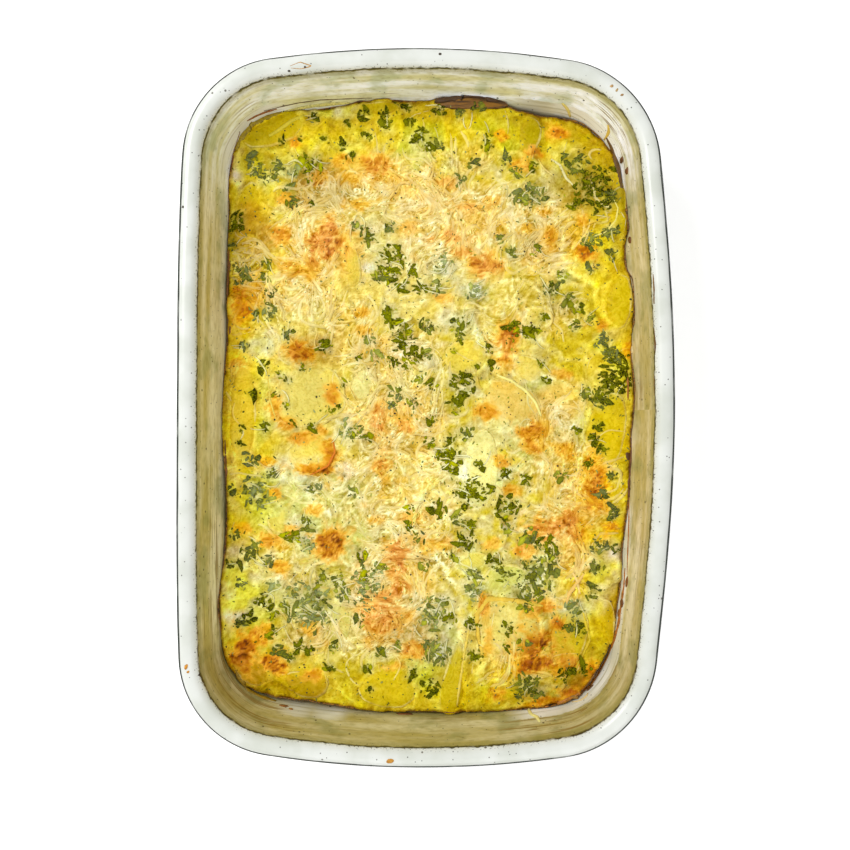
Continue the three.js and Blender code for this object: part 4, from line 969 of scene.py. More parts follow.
def pinkness(x, y):
    """Where thick cheese browns pink rather than golden, from 0 to 1."""
    pink = np.max([spot(x, y, *row) for row in PINK_CENTRES], axis=0)
    return np.clip(0.8 * pink + 0.5 * noise("pinkness", x, y), 0, 1)


def brown_over(colour, amount, x, y):
    """Lays browning over a colour, through gold and orange to a dark crust."""
    steps = np.clip(amount, 0, 1) * len(GOLDEN_BROWNS)
    pink = pinkness(x, y)
    for k, (golden, rosy) in enumerate(zip(GOLDEN_BROWNS, PINK_BROWNS)):
        colour = mixed(colour, mixed(golden, rosy, pink), smooth(0.0, 1.0, steps - k))
    return colour


def parsley_haze(x, y):
    """A green tinge round the clumps, as the herb stains the cream."""
    haze = np.zeros_like(x)
    for px, py, reach, veil in PARSLEY:
        stain = spot(x, y, px, py, reach * (1.1 + 0.35 * veil))
        haze = np.maximum(haze, (0.65 + 0.35 * veil) * stain)
    return haze


def melted_cheese(x, y, brown, curd):
    """Cheese from its dark gaps, partly painted shade, to its bright threads, golden round the browned
    places.
    """
    golden = smooth(-0.15, 0.55, noise("golden", x, y) + 0.9 * brown)
    deep = mixed(linear(196, 170, 60), linear(214, 162, 40), golden)
    bright = mixed(linear(248, 230, 154), linear(251, 206, 96), golden)
    threads = 0.75 * NOODLES.at(x, y) + 0.4 * FIBRES.at(x, y) + 0.35 * curd
    return mixed(deep, bright, smooth(-0.9, 0.8, threads))


def food_colour(x, y, base, veil):
    """Potato and cream, stained by the herbs, under melted cheese, then browned, then painted lighter on its
    threads and darker in its gaps, with the listed patches of painted light and shade.
    """
    curd, brown = noise("curd", x, y), browned(x, y)
    fibre, noodle = FIBRES.at(x, y), NOODLES.at(x, y)
    green = mixed(linear(126, 136, 44), linear(222, 226, 176), smooth(-0.4, 0.4, curd))
    stained = 1.15 * parsley_haze(x, y) * (0.8 + 0.3 * noise("herb_stain", x, y))
    colour = mixed(toned(x, y, base), green, stained)
    colour = mixed(colour, melted_cheese(x, y, brown, curd), veil * (0.75 + 0.25 * noodle))
    colour = brown_over(colour, brown, x, y)
    # Painted light on the threads and painted shade between them, and the patches of painted light and shade.
    colour = lit(colour, (1 + 0.17 * (0.35 + 0.65 * veil) * noodle + 0.11 * fibre) * local_light(x, y))
    from_wall = from_rim(x, y) - wall_inset(TOP_HEIGHT)
    inner, outer = smooth(20.0, 44.0, from_wall), smooth(34.0, 10.0, from_wall)
    butter_fat = 1 + (0.75 - 0.45 * inner) * noise("butter_fat", x, y) + 0.2 * inner - 0.6 * outer
    return colour * np.column_stack([1 + 0.07 * outer, np.ones(len(x)), np.maximum(butter_fat, 0.1)])


# Hidden slices whose edges show through the melted cheese.
GHOST_SPACING = 24.0


def ghost_slices():
    random = np.random.default_rng(HIDDEN_SLICES_SEED)
    rows = []
    for y in np.arange(-150, 151, GHOST_SPACING):
        for x in np.arange(-100, 101, GHOST_SPACING):
            place = np.array([x, y]) + random.uniform(-9, 9, 2)
            radius, slope = random.uniform(17, 25), random.uniform(-0.055, 0.055, 2)
            rows.append((*place, radius, *slope, random.uniform(0, 1)))
    random.shuffle(rows)
    return rows


def ghost_relief(x, y):
    """The height, tone number and edge of the topmost hidden slice at each place."""
    height, tone, edge = np.zeros_like(x), np.full_like(x, 0.5), np.zeros_like(x)
    bend = 1.4 * noise("hidden_slices", x, y)
    for cx, cy, radius, slope_x, slope_y, number in ghost_slices():
        distance = np.hypot(x - cx, y - cy) + bend
        inside = smooth(radius + 0.5, radius - 0.5, distance)
        plane = 0.45 + slope_x * (x - cx) + slope_y * (y - cy)
        height = height * (1 - inside) + plane * inside
        tone = tone * (1 - inside) + number * inside
        edge = edge * (1 - inside) + inside * smooth(radius - 2.2, radius - 0.3, distance)
    return height, tone, edge


# Threads of cheese.
CROSSING_SHIFT = 300
FLOW_GAP = 0.5
DRAWING_STEP = 0.7


def stream(x, y):
    """A slow field in millimetres. Shreds of cheese follow its level lines."""
    total = 14.0 * noise("stream", x, y)
    for px, py, reach, turn in SWIRLS:
        total = total + turn * 0.75 * reach * spot(x, y, px, py, reach)
    return total


def crossing_stream(x, y):
    return 13.0 * noise("crossing_stream", x + CROSSING_SHIFT, y)


def flow_angle(x, y, field=stream):
    across_x = field(x + FLOW_GAP, y) - field(x - FLOW_GAP, y)
    across_y = field(x, y + FLOW_GAP) - field(x, y - FLOW_GAP)
    return np.arctan2(across_x, -across_y)


def drawn_out_noise(seed, field, reach, width=0.0):
    """Noise of the width given, drawn out along a field's level lines."""
    values = np.random.default_rng(seed).uniform(-1, 1, MESH_X.shape)
    grid = Grid(blur(values, width) if width else values)
    flow = flow_angle(MESH_X, MESH_Y, field)
    cos, sin = Grid(np.cos(flow)), Grid(np.sin(flow))
    total = np.zeros(MESH_X.shape)
    for direction in (-1, 1):
        x, y = MESH_X.copy(), MESH_Y.copy()
        turn_x, turn_y = direction * cos.values, direction * sin.values
        for _ in range(reach):
            x, y = x + DRAWING_STEP * turn_x, y + DRAWING_STEP * turn_y
            next_x, next_y = cos.at(x, y), sin.at(x, y)
            same = np.sign(next_x * turn_x + next_y * turn_y)
            turn_x, turn_y = next_x * same, next_y * same
            total += grid.at(x, y)
    return np.clip(total / (2.2 * total.std()), -1, 1)


def crossed_threads(first, second):
    """Two layers of threads, the higher of the two at each place."""
    joined = np.maximum(first, second)
    joined = joined - joined.mean()
    return Grid(np.clip(joined / (2.0 * joined.std()), -1, 1))


def ridged(values, half_width):
    """Turns drawn-out noise into lines of even width, where it passes through nought."""
    return smooth(half_width, 0.0, np.abs(values)) * 2 - 1


# Each layer's seed, field, reach, and for noodles the width of the noise and of the lines.
FIBRES = crossed_threads(drawn_out_noise(21, stream, 8), drawn_out_noise(23, crossing_stream, 7))
NOODLES = crossed_threads(
    ridged(drawn_out_noise(25, stream, 10, 0.6), 0.36),
    ridged(drawn_out_noise(27, crossing_stream, 8, 0.6), 0.28),
)

# How high a bare edge stands above the cheese, for a faint and for a marked rim,
# and how low a covered one lies.
SLICE_PROUD = (0.3, 0.85)
SLICE_BURIED = -0.55

# Shares of a slice's radius where its top has a ring of points,
# and the drops and shares of those below its edge.
SLICE_RINGS = (0.14, 0.27, 0.39, 0.5, 0.6, 0.69, 0.77, 0.84, 0.89, 0.93, 0.96, 0.985, 1.0)
SLICE_SIDE = ((0.35, 1.0), (1.1, 0.995), (1.9, 0.98))
SLICE_BASE_SHARE = 0.9
OUTLINE_START, OUTLINE_STEP = 0.4, 0.35
OUTLINE_WEIGHTS = (0.1, 0.22, 0.36, 0.22, 0.1)

# Each slice's bare side and its spread in degrees, its tone,
# and its cooked rim's width in millimetres and strength.
SLICE_LOOKS = {
    "slice_round_left": (-60, 110, "butter", 1.4, 0.6),
    "slice_round_right": (150, 80, "butter", 3.4, 1.2),
    "slice_corner_upper_left": (-75, 70, "yellow", 1.2, 0.4),
    "slice_bottom_bright": (-90, 80, "lemon", 0.8, 0.3),
    "slice_bottom_fold": (170, 60, "lemon", 0.8, 0.2),
    "slice_arc_middle": (60, 70, "honey", 1.6, 0.5),
    "slice_arc_behind": (70, 50, "butter", 1.2, 0.4),
    "slice_yellow_middle": (160, 90, "butter", 1.2, 0.3),
    "slice_pale_middle": (20, 110, "pale", 1.2, 0.2),
    "slice_browned_left": (-80, 110, "butter", 1.8, 0.8),
    "slice_left_edge": (10, 50, "lemon", 1.4, 0.4),
    "slice_right_edge": (0, 90, "yellow", 1.6, 0.4),
    "slice_right_bright": (10, 80, "lemon", 1.6, 0.4),
    "slice_right_leaning": (100, 90, "olive", 0.8, 0.5),
    "slice_right_upper": (-60, 50, "olive", 0.8, 0.3),
    "slice_green_wedge": (0, 80, "olive", 0.6, 0.2),
    "slice_top_fold": (90, 90, "yellow", 1.0, 0.3),
    "slice_left_upper": (100, 30, "yellow", 0.8, 0.2),
    "slice_translucent_bar": (0, 70, "butter", 1.0, 0.2),
    "slice_translucent_small": (-110, 170, "pale", 1.0, 0.2),
    "slice_lower_left": (-120, 45, "butter", 1.4, 0.4),
    "slice_pale_lower": (0, 50, "mint", 1.2, 0.3),
    "slice_lower_middle": (80, 60, "mint", 1.2, 0.3),
    "slice_lower_small": (60, 35, "butter", 1.2, 0.3),
    "slice_lower_right": (0, 70, "lemon", 1.8, 0.5),
    "slice_lower_right_edge": (0, 80, "yellow", 1.4, 0.4),
    "slice_bottom_left": (-60, 80, "amber", 1.6, 0.5),
    "slice_corner_lower_left": (-130, 80, "amber", 1.4, 0.5),
}

# Slices that the cheese hardly covers.
CLEAN_SLICES = ("slice_translucent_small", "slice_pale_middle", "slice_yellow_middle", "slice_round_left")


class Slice:
    """A slice's outline by angle about its middle, taken from its solid, and where its edge stands clear."""

    SIDES = 112

    def __init__(self, name, bare_towards, bare_spread, edge_width=1.0, rim=0.5, thickness=2.6):
        self.name = name
        self.rim = rim
        self.edge_width = edge_width
        self.low, self.high = (np.array(corner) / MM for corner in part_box(name))
        self.x, self.y = ((self.low + self.high) / 2)[:2]
        self.bare_towards, self.bare_spread = math.radians(bare_towards), math.radians(bare_spread)
        self.thickness = thickness
        self.angles = np.linspace(0, 2 * math.pi, self.SIDES, endpoint=False)
        self.radii = self.measure_outline()

    def measure_outline(self):
        tree = ray_tree([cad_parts[self.name]])
        reach = np.hypot(*(self.high - self.low)[:2])
        radii = []
        for angle in self.angles:
            cos, sin = math.cos(angle), math.sin(angle)
            inside = OUTLINE_START
            for step in np.arange(OUTLINE_START, reach, OUTLINE_STEP):
                if np.isnan(height_from_above(tree, self.x + step * cos, self.y + step * sin)):
                    break
                inside = step
            radii.append(inside)
        return sum(weight * np.roll(radii, k - 2) for k, weight in enumerate(OUTLINE_WEIGHTS))

    def radius(self, angle):
        place = (np.asarray(angle) % (2 * math.pi)) / (2 * math.pi) * self.SIDES
        i = np.floor(place).astype(int) % self.SIDES
        share = place - np.floor(place)
        return self.radii[i] * (1 - share) + self.radii[(i + 1) % self.SIDES] * share

    def polar(self, x, y):
        """The direction from the slice's middle, and how far inside its edge a place is."""
        angle = np.arctan2(y - self.y, x - self.x)
        return angle, self.radius(angle) - np.hypot(x - self.x, y - self.y)

    def edge_noise(self, kind, angle, turns, offset):
        """Noise that runs along the edge."""
        return noise(kind, angle * turns, np.full_like(angle, offset))

    def bare(self, angle):
        """Whether the edge stands clear of the cheese in this direction, from 0 to 1."""
        ragged = 0.35 * self.edge_noise("bare_edge", angle, 3, self.x)
        away = np.abs((angle - self.bare_towards + math.pi) % (2 * math.pi) - math.pi) + ragged
        return smooth(self.bare_spread + 0.35, self.bare_spread - 0.25, away)

    def top(self, x, y):
        """The slice's upper surface: proud of the cheese on its bare side, and under it on the other."""
        angle, within = self.polar(x, y)
        height = SLICE_PROUD[0] + (SLICE_PROUD[1] - SLICE_PROUD[0]) * min(self.rim, 1.0)
        proud = SLICE_BURIED + (height - SLICE_BURIED) * self.bare(angle)
        lift = height * 0.8 + (proud - height * 0.8) * smooth(6.0, 0.5, within)
        worn = 0.5 * smooth(0.7, -0.1, within)
        return FORM.at(x, y) + lift - worn + 0.14 * noise("slice_top", x, y)

    def shield(self, x, y):
        """Where the bake has to stay below the slice, from 0 to 1."""
        angle, within = self.polar(x, y)
        bare = self.bare(angle)
        return smooth(0.1, 0.9, within) * (bare + (1 - bare) * smooth(1.0, 4.0, within))

    def shade(self, x, y):
        """Painted shade in the gap just outside the bare edge, from 0 to 1."""
        angle, within = self.polar(x, y)
        patchy = 0.6 + 0.5 * self.edge_noise("edge_shade", angle, 3.1, self.y)
        return smooth(-3.4, -0.2, within) * smooth(1.2, 0.0, within) * self.bare(angle) * patchy

    def covers(self, x, y):
        return self.polar(x, y)[1] > 0.3

    def ring(self, share):
        """The places of a ring at a share of the slice's ragged radius."""
        ragged = 1 + 0.025 * self.edge_noise("slice_outline", self.angles, 5, self.x)
        reach = self.radii * ragged * share
        return self.x + reach * np.cos(self.angles), self.y + reach * np.sin(self.angles)


def build_slice(piece, base):
    rings = []
    for share in SLICE_RINGS:
        x, y = piece.ring(share)
        rings.append(np.column_stack([x, y, piece.top(x, y)]))
    edge = rings[-1]
    for drop, share in (*SLICE_SIDE, (piece.thickness, SLICE_BASE_SHARE)):
        rings.append(np.column_stack([*piece.ring(share), edge[:, 2] - drop]))
    middle_z = piece.top(np.array([piece.x]), np.array([piece.y]))[0]
    centres = [[piece.x, piece.y, middle_z], [piece.x, piece.y, rings[-1][:, 2].mean()]]
    points = np.vstack([*rings, centres])
    count, centre = piece.SIDES, len(rings) * piece.SIDES
    faces = [tuple(reversed(face)) for face in ring_faces(len(rings), count)]
    faces += fan(centre, 0, count) + fan(centre + 1, centre - count, count, turned=True)
    made = make_mesh("potato_" + piece.name, points, faces)
    paint(made, *slice_colour(piece, points[:, 0], points[:, 1], base))
    store_stream(made, points[:, 0], points[:, 1])
    plan_map(made)
    return made


def slice_colour(piece, x, y, base):
    """A slice is one tone, cooked golden along its edge, with a painted highlight line along its bare edge,
    hazed by herbs, and browned with the cheese.
    """
    around, cover = bake_colour(x, y)
    tone = TONES[base]
    colour = mixed(tone * np.ones((len(x), 1)), toned(x, y, tone), 0.5)
    colour = colour * (1 + 0.09 * noise("slice_mottle", x, y))[:, None]
    angle, within = piece.polar(x, y)
    bare = piece.bare(angle)
    patchy = smooth(-0.35, 0.5, piece.edge_noise("rim_patches", angle, 2.2, piece.y))
    ragged = piece.edge_width * (0.4 + 0.9 * patchy)
    band = smooth(ragged + 0.9, ragged - 0.7, within) * bare * piece.rim * (0.3 + 0.7 * patchy)
    colour = mixed(colour, mixed(tone, TONES["tan"], 0.7), band)
    # A painted highlight: a thin pale line along the bare edge.
    line = smooth(0.9, 0.2, np.abs(within - 0.5)) * bare * (0.35 + 0.6 * (1 - patchy))
    colour = mixed(colour, linear(250, 236, 150), line)
    colour = mixed(colour, linear(140, 148, 46), 0.6 * parsley_haze(x, y))
    colour = brown_over(colour, 0.85 * browned(x, y), x, y) * local_light(x, y)[:, None]
    thin = (0.06 if piece.name in CLEAN_SLICES else 0.3) + 0.35 * noise("slice_haze", x, y)
    covered = (1 - bare) * smooth(8.0, 1.0, within + 2.5 * noise("slice_cover", x, y))
    hidden = np.clip(np.maximum(np.clip(thin, 0, 1) + 0.3 * cover, covered), 0, 1)
    return mixed(colour, around, hidden), np.maximum(0.2 * cover, hidden * cover)


# Threads in the shader: how many run side by side, and the steps of painted light and shade between them.
THREADS_PER_UNIT = 4.4
LIGHTER = ((1.16, 1.19, 1.28), "ADD", 0.012)
DARKER = ((0.64, 0.56, 0.32), "SUBTRACT", 0.02)


def thread_wave(m, place, stream_value, shift):
    """Threads that run side by side: a wave over slow noise, from -1 in the gaps to 1 on the threads."""
    along, across = 9.0, 2.6
    inputs = {
        0: m.math("MULTIPLY_ADD", m.part(place, 0), 1 / (along * MM), shift),
        1: m.times(m.part(place, 1), 1 / (along * MM)),
        2: m.times(stream_value, 1 / across),
    }
    slow = m.noise(1.0, 2.0, m.node("CombineXYZ", inputs).outputs[0])
    return m.math("SINE", m.times(slow, 2 * math.pi * THREADS_PER_UNIT))


def two_way_threads(m, place):
    """Threads along the stored field, and in patches across it."""
    first = thread_wave(m, place, m.stored("stream", "Fac"), 0.0)
    other = thread_wave(m, place, m.times(m.noise(1 / (14 * MM), 1.0, place), 26.0), 40.0)
    choice = m.ramp(m.noise(1 / (8.0 * MM), 2.0, place), 0.46, 0.54)
    return m.node("Mix", {0: choice, 2: first, 3: other}).outputs[0]


def food_material(name, roughness, bump, grain, subsurface, fibrous):
    """Painted food: the stored tint, broken up by noise, fine light specks painted as glints, and threads
    painted lighter with darker gaps, with a moist soft shine.
    """
    m = Shader(name)
    place = m.place()
    fine, coarse = m.noise(1 / (1.1 * MM), 4.0, place), m.noise(1 / (4.5 * MM), 2.0, place)
    colour = m.step(m.ramp(coarse, 0.4, 0.7, 0.0, grain), m.stored("tint"), LIGHTER)
    colour = m.step(m.ramp(fine, 0.45, 0.33, 0.0, grain), colour, DARKER)
    # Fine light specks: painted glints.
    colour = m.step(m.ramp(fine, 0.56, 0.66, 0.0, grain), colour, LIGHTER)
    height = fine
    if fibrous:
        wave = two_way_threads(m, place)
        amount = m.ramp(m.stored("tint", "Alpha"), 0.0, 1.0, 0.25, 0.95)
        # Painted shade in the gaps between threads and painted light on the threads.
        colour = m.step(m.times(m.ramp(wave, -0.25, -0.9), amount), colour, DARKER)
        colour = m.step(m.times(m.ramp(wave, 0.1, 0.9), amount), colour, LIGHTER)
        height = m.math("MULTIPLY_ADD", wave, 0.4, fine)
    clamped = m.node("Mix", {0: 0.0, 6: colour}, data_type="RGBA", clamp_result=True).outputs[2]
    m.put(m.surface, "Subsurface Weight", subsurface)
    m.put(m.surface, "Subsurface Radius", (1.0, 0.7, 0.3))
    m.put(m.surface, "Subsurface Scale", 1.2 * MM)
    m.bump(height, bump, 0.45)
    return m.finished(clamped, m.ramp(coarse, 0.3, 0.7, roughness - 0.1, roughness + 0.12), 0.05)


# The bake's fine top.
CELL_CORNERS = ((0, 0), (0, 1), (1, 1), (1, 0))


def bake_height(x, y, slices):
    """The bake's top: its large form, hidden slices, threads of cheese and browned blisters."""
    hidden = ghost_relief(x, y)[0].reshape(MESH_X.shape)
    veil, fibre, noodle = veil_cover(x, y), FIBRES.at(x, y), NOODLES.at(x, y)
    form = FORM.at(x, y) + (blur(hidden, 0.55).ravel() - 0.3)
    form = form + (0.08 + 0.12 * veil) * fibre + (0.06 + 0.36 * veil * (0.35 + 0.65 * stringy(x, y))) * noodle
    form = form + (0.15 + 0.3 * (1 - veil)) * noise("relief", x, y) + 0.25 * browned(x, y) * (0.5 + noodle)
    under = np.max([piece.shield(x, y) for piece in slices], axis=0)
    return form * (1 - under) + (FORM.at(x, y) - 1.0) * under


def room_inside(x, y, form):
    """How far inside the bake's ragged border each place is."""
    ragged = 0.5 * noise("border", x, y) + 0.25 * noise("border_grit", x, y)
    room = from_rim(x, y) - wall_inset(form) - WALL_CLEARANCE - pulled_back(x, y)
    return room - BORDER_CLEARANCE + np.minimum(ragged, 0)


def cut_sheet(form, depth):
    """The cells of the grid that lie inside, their border drawn out to the true edge."""
    grow_y, grow_x = np.gradient(depth, STEP)
    norm = np.maximum(np.hypot(grow_x, grow_y), 0.2)
    grow_x, grow_y = grow_x / norm, grow_y / norm
    inside = depth > 0
    cells = inside[:-1, :-1] & inside[1:, :-1] & inside[:-1, 1:] & inside[1:, 1:]
    touching = np.zeros(inside.shape, dtype=int)
    for dj, di in CELL_CORNERS:
        touching[dj : dj + cells.shape[0], di : di + cells.shape[1]] += cells
    used = touching > 0
    number = np.full(inside.shape, -1)
    number[used] = np.arange(used.sum())
    shift = np.where(used & (touching < len(CELL_CORNERS)), np.clip(depth, 0, 1.3 * STEP), 0.0)
    x, y = (MESH_X - grow_x * shift)[used], (MESH_Y - grow_y * shift)[used]
    points = np.column_stack([x, y, Grid(form).at(x, y)])
    rows, columns = np.nonzero(cells)
    faces = np.column_stack([number[rows + dj, columns + di] for dj, di in CELL_CORNERS]).tolist()
    return points, faces, np.column_stack([grow_x[used], grow_y[used]])


def build_gratin(slices):
    x, y = MESH_X.ravel(), MESH_Y.ravel()
    form = bake_height(x, y, slices)
    depth = room_inside(x, y, form)
    form = form - 0.7 * smooth(2.0, 0.0, depth)
    form, depth = form.reshape(MESH_X.shape), depth.reshape(MESH_X.shape)
    points, faces, inward = cut_sheet(form, depth)
    loop = border_loop(faces)
    points, faces = add_side(points, faces, loop, inward[loop])
    gratin = make_mesh("gratin_bake", points, faces)
    paint_gratin(gratin, points, form, depth, slices)
    store_stream(gratin, points[:, 0], points[:, 1])
    plan_map(gratin)
    return gratin, Grid(form), Grid(depth)


def paint_gratin(gratin, points, form, depth, slices):
    """The bake's colour, with painted shade in its hollows and beside slices and painted light on its ridges,
    and burnt down its side.
    """
    x, y, z = points.T
    colour, veil = bake_colour(x, y)
    # Painted shade in the hollows and painted light on the ridges of the bake's relief.
    painted_relief_shade = Grid(form - blur(form, 1.7)).at(x, y)
    colour = lit(colour, np.clip(1 + 0.7 * painted_relief_shade, 0.6, 1.2))
    # Painted shade beside the slices' bare edges.
    gap = np.max([piece.shade(x, y) for piece in slices], axis=0)
    colour = mixed(colour, colour * GAP_SHADE, 0.5 * gap)
    crust = smooth(1.5, 0.1, Grid(depth).at(x, y)) * (0.4 + 0.7 * noise("border_crust", x, y))
    side = z < FORM.at(x, y) - 2.2
    crust = np.where(side, 0.45 + 0.3 * noise("side_crust", x + z, y), crust)
    paint(gratin, mixed(colour, BURNT, crust), veil * (0.3 + 0.7 * stringy(x, y)))


def bake_colour(x, y):
    """The bake's colour, with painted highlights along hidden slices' edges and painted light and shade on
    its threads, and its veil of cheese.
    """
    _, number, edge = ghost_relief(x, y)
    base = mixed(TONES["lemon"], TONES["butter"], smooth(0.2, 0.45, number))
    base = mixed(base, TONES["mint"], smooth(0.6, 0.8, number))
    from_wall = from_rim(x, y) - wall_inset(TOP_HEIGHT) + 5 * noise("wall_distance", x, y)
    base = mixed(base, TONES["yellow"], 0.7 * smooth(16.0, 3.0, from_wall))
    cream = smooth(-0.1, 0.4, 0.7 * noise("cream", x, y) + 0.6 * noise("fine_cream", x, y))
    base = mixed(base, TONES["pale"], 0.65 * cream)
    # Painted highlight along the edges of hidden slices.
    base = mixed(base, linear(252, 238, 130), 0.55 * edge)
    outer = smooth(34.0, 12.0, from_wall)
    base = base * np.column_stack([1 - 0.05 * outer, 1 - 0.05 * outer, 1.15 - 0.85 * outer])
    veil = veil_cover(x, y)
    mottle = 0.12 * noise("mottle", x, y) + 0.1 * noise("fine_mottle", x, y)
    return lit(food_colour(x, y, base, veil), 1 + mottle), veil


def border_loop(faces):
    """The outer border of a sheet of faces, in order."""
    edges = {(f[k], f[(k + 1) % 4]) for f in faces for k in range(4)}
    following = {a: b for a, b in edges if (b, a) not in edges}
    start = next(iter(following))
    loop, at = [start], following[start]
    while at != start:
        loop.append(at)
        at = following[at]
    return loop


def add_side(points, faces, loop, inward):
    """The bake's side down the wall, and its underside."""
    top = points[loop]
    count, start = len(loop), len(points)
    rings, previous = [points], loop
    pulled = pulled_back(top[:, 0], top[:, 1])
    heights = [np.maximum(top[:, 2] - drop, FOOD_BOTTOM + 1) for drop in SIDE_LEVELS]
    for z in (*heights, np.full(count, FOOD_BOTTOM)):
        eased = 1 - smooth(8.0, TOP_HEIGHT, z)
        draw = wall_inset(z) - wall_inset(top[:, 2]) - 0.6 * eased * pulled
        bulge = 0.25 * noise("side_bulge", top[:, 0] + 3 * z, top[:, 1])
        place = top[:, :2] + inward * (np.maximum(draw, 0) + 0.2 + np.abs(bulge))[:, None]
        rings.append(np.column_stack([place, z]))
        ring = list(range(start, start + count))
        after = [*range(1, count), 0]
        faces += [(previous[n], previous[k], ring[k], ring[n]) for k, n in enumerate(after)]
        previous = ring
        start += count
    rings.append(np.array([[0.0, 0.0, FOOD_BOTTOM]]))
    faces += fan(start, start - count, count, turned=True)
    return np.vstack(rings), faces


def upper_surface(top, slices):
    """The surface that loose things lie on."""
    values = top.values.copy()
    for piece in slices:
        inside = piece.covers(MESH_X, MESH_Y)
        values[inside] = np.maximum(values[inside], piece.top(MESH_X[inside], MESH_Y[inside]))
    return Grid(values)


# Shreds: name, seed, how many, length and width ranges, tone, and the field they follow.
STRAND_KINDS = (
    ("cheese_shreds_pale", 301, 1300, (7, 20), (1.3, 3.0), linear(250, 232, 166), stream),
    ("cheese_shreds_golden", 302, 700, (7, 16), (1.2, 2.4), linear(246, 210, 116), crossing_stream),
    ("cheese_shreds_fine", 303, 800, (6, 14), (0.5, 1.1), linear(252, 240, 186), stream),
)
STRAND_LIFTS = (-0.24, 0.03)
STRAND_OWN_SHARE = 0.34
HERB_STRANDS = ("cheese_over_herbs", (5, 10), (0.6, 1.1), (0.1, 0.36), linear(232, 230, 178), 0.5)
STRAND_STEP = 1.5

# A shred's section: how far out and how high each of its edges runs,
# as shares of its half width, and the shade painted across it, darker at its edges.
SHRED_SECTION = ((-1.0, -0.3), (-0.5, 0.08), (0.0, 0.18), (0.5, 0.08), (1.0, -0.3))
SHRED_SHADE = (0.84, 0.99, 1.05, 0.99, 0.84)


def tapered(half, count, start):
    """A half width that thins out towards both ends."""
    return half * np.sin(np.linspace(start, math.pi - start, count)) ** 0.4


def unit_rows(rows):
    return rows / np.maximum(np.linalg.norm(rows, axis=1), 1e-6)[:, None]


def ridge_rows(paths, widths, surface, lifts):
    """Joins bent shreds, each a low soft ridge that thins out to both ends."""
    points, faces, start = [], [], 0
    for path, width, lift in zip(paths, widths, lifts):
        along = unit_rows(np.gradient(path, axis=0))
        side = np.column_stack([-along[:, 1], along[:, 0]])
        base = surface.at(path[:, 0], path[:, 1]) + lift
        half = tapered(width / 2, len(path), 0.15)
        for out, up in SHRED_SECTION:
            points.append(np.column_stack([path + side * (out * half)[:, None], base + up * half]))
        faces += strip_faces(len(SHRED_SECTION), len(path), start)
        start += len(SHRED_SECTION) * len(path)
    return np.vstack(points), faces


def open_starts(random, count, inside, open_ground):
    """Starting places, denser where the cheese lies thicker."""
    tries = random.uniform((-103, -154), (103, 154), (count * 12, 2))
    chance = (veil_cover(*tries.T) ** 1.8 + 0.012) * open_ground.at(*tries.T)
    chance = chance * (0.2 + 0.8 * stringy(*tries.T))
    wanted = (inside.at(*tries.T) > 2.0) & (random.uniform(size=len(tries)) < chance)
    return tries[wanted][:count]


def herb_starts(random, inside):
    """Starting places round the clumps of parsley, more where the cheese veils them."""
    rows = []
    for px, py, reach, veil in PARSLEY:
        number = random.poisson((0.12 + 0.3 * veil) * reach**1.2)
        rows.append(np.array(seen(px, py)) + random.normal(0, 0.6 * reach, (number, 2)))
    place = np.vstack(rows)
    return place[inside.at(*place.T) > 2.0]


def strand_paths(random, place, inside, lengths, field=stream):
    """Paths along the swirls from their starting places."""
    steps = (random.uniform(*lengths, len(place)) / STRAND_STEP).astype(int)
    heading = flow_angle(*place.T, field) + random.normal(0, 0.14, len(place))
    heading += math.pi * random.integers(0, 2, len(place))
    curl = random.normal(0, 0.04, len(place))
    rows = [place]
    for _ in range(steps.max()):
        turn = (flow_angle(*place.T, field) - heading + math.pi / 2) % math.pi - math.pi / 2
        heading = heading + 0.35 * turn + curl + random.normal(0, 0.05, len(place))
        place = place + STRAND_STEP * np.column_stack([np.cos(heading), np.sin(heading)])
        rows.append(place)
    paths = []
    for row, length in zip(np.stack(rows, axis=1), steps):
        path = row[: length + 1]
        out = np.nonzero(inside.at(path[:, 0], path[:, 1]) < 1.0)[0]
        path = path[: out[0]] if len(out) else path
        if len(path) > 3:
            paths.append(path)
    return paths


def build_strands(name, paths, random, widths, lifts, tone, own_share, surface):
    sizes = random.uniform(*widths, len(paths))
    points, faces = ridge_rows(paths, sizes, surface, random.uniform(*lifts, len(paths)))
    made = make_mesh(name, points, faces)
    shade = random.uniform(0.86, 1.14, len(paths))
    # Painted shade across each shred, darker at its edges, times a random tone for each shred.
    across = np.concatenate([np.repeat(SHRED_SHADE, len(path)) * own for path, own in zip(paths, shade)])
    x, y = points[:, 0], points[:, 1]
    own = brown_over(tone * np.ones((len(points), 1)), 0.8 * browned(x, y), x, y)
    paint(made, lit(mixed(bake_colour(x, y)[0], own, own_share), across))
    plan_map(made)
    return made


# Chopped leaf: small uneven chips, closed above and below.
LEAF_LIFT = 0.2
LEAF_CROWN, LEAF_THICKNESS = 0.06, 0.3
BROAD_FROM = 1.6
STRAY_LEAVES = 1300
GREENS = (linear(38, 42, 0), linear(92, 96, 0), linear(152, 152, 0))
VEILED_GREEN = linear(176, 188, 132)


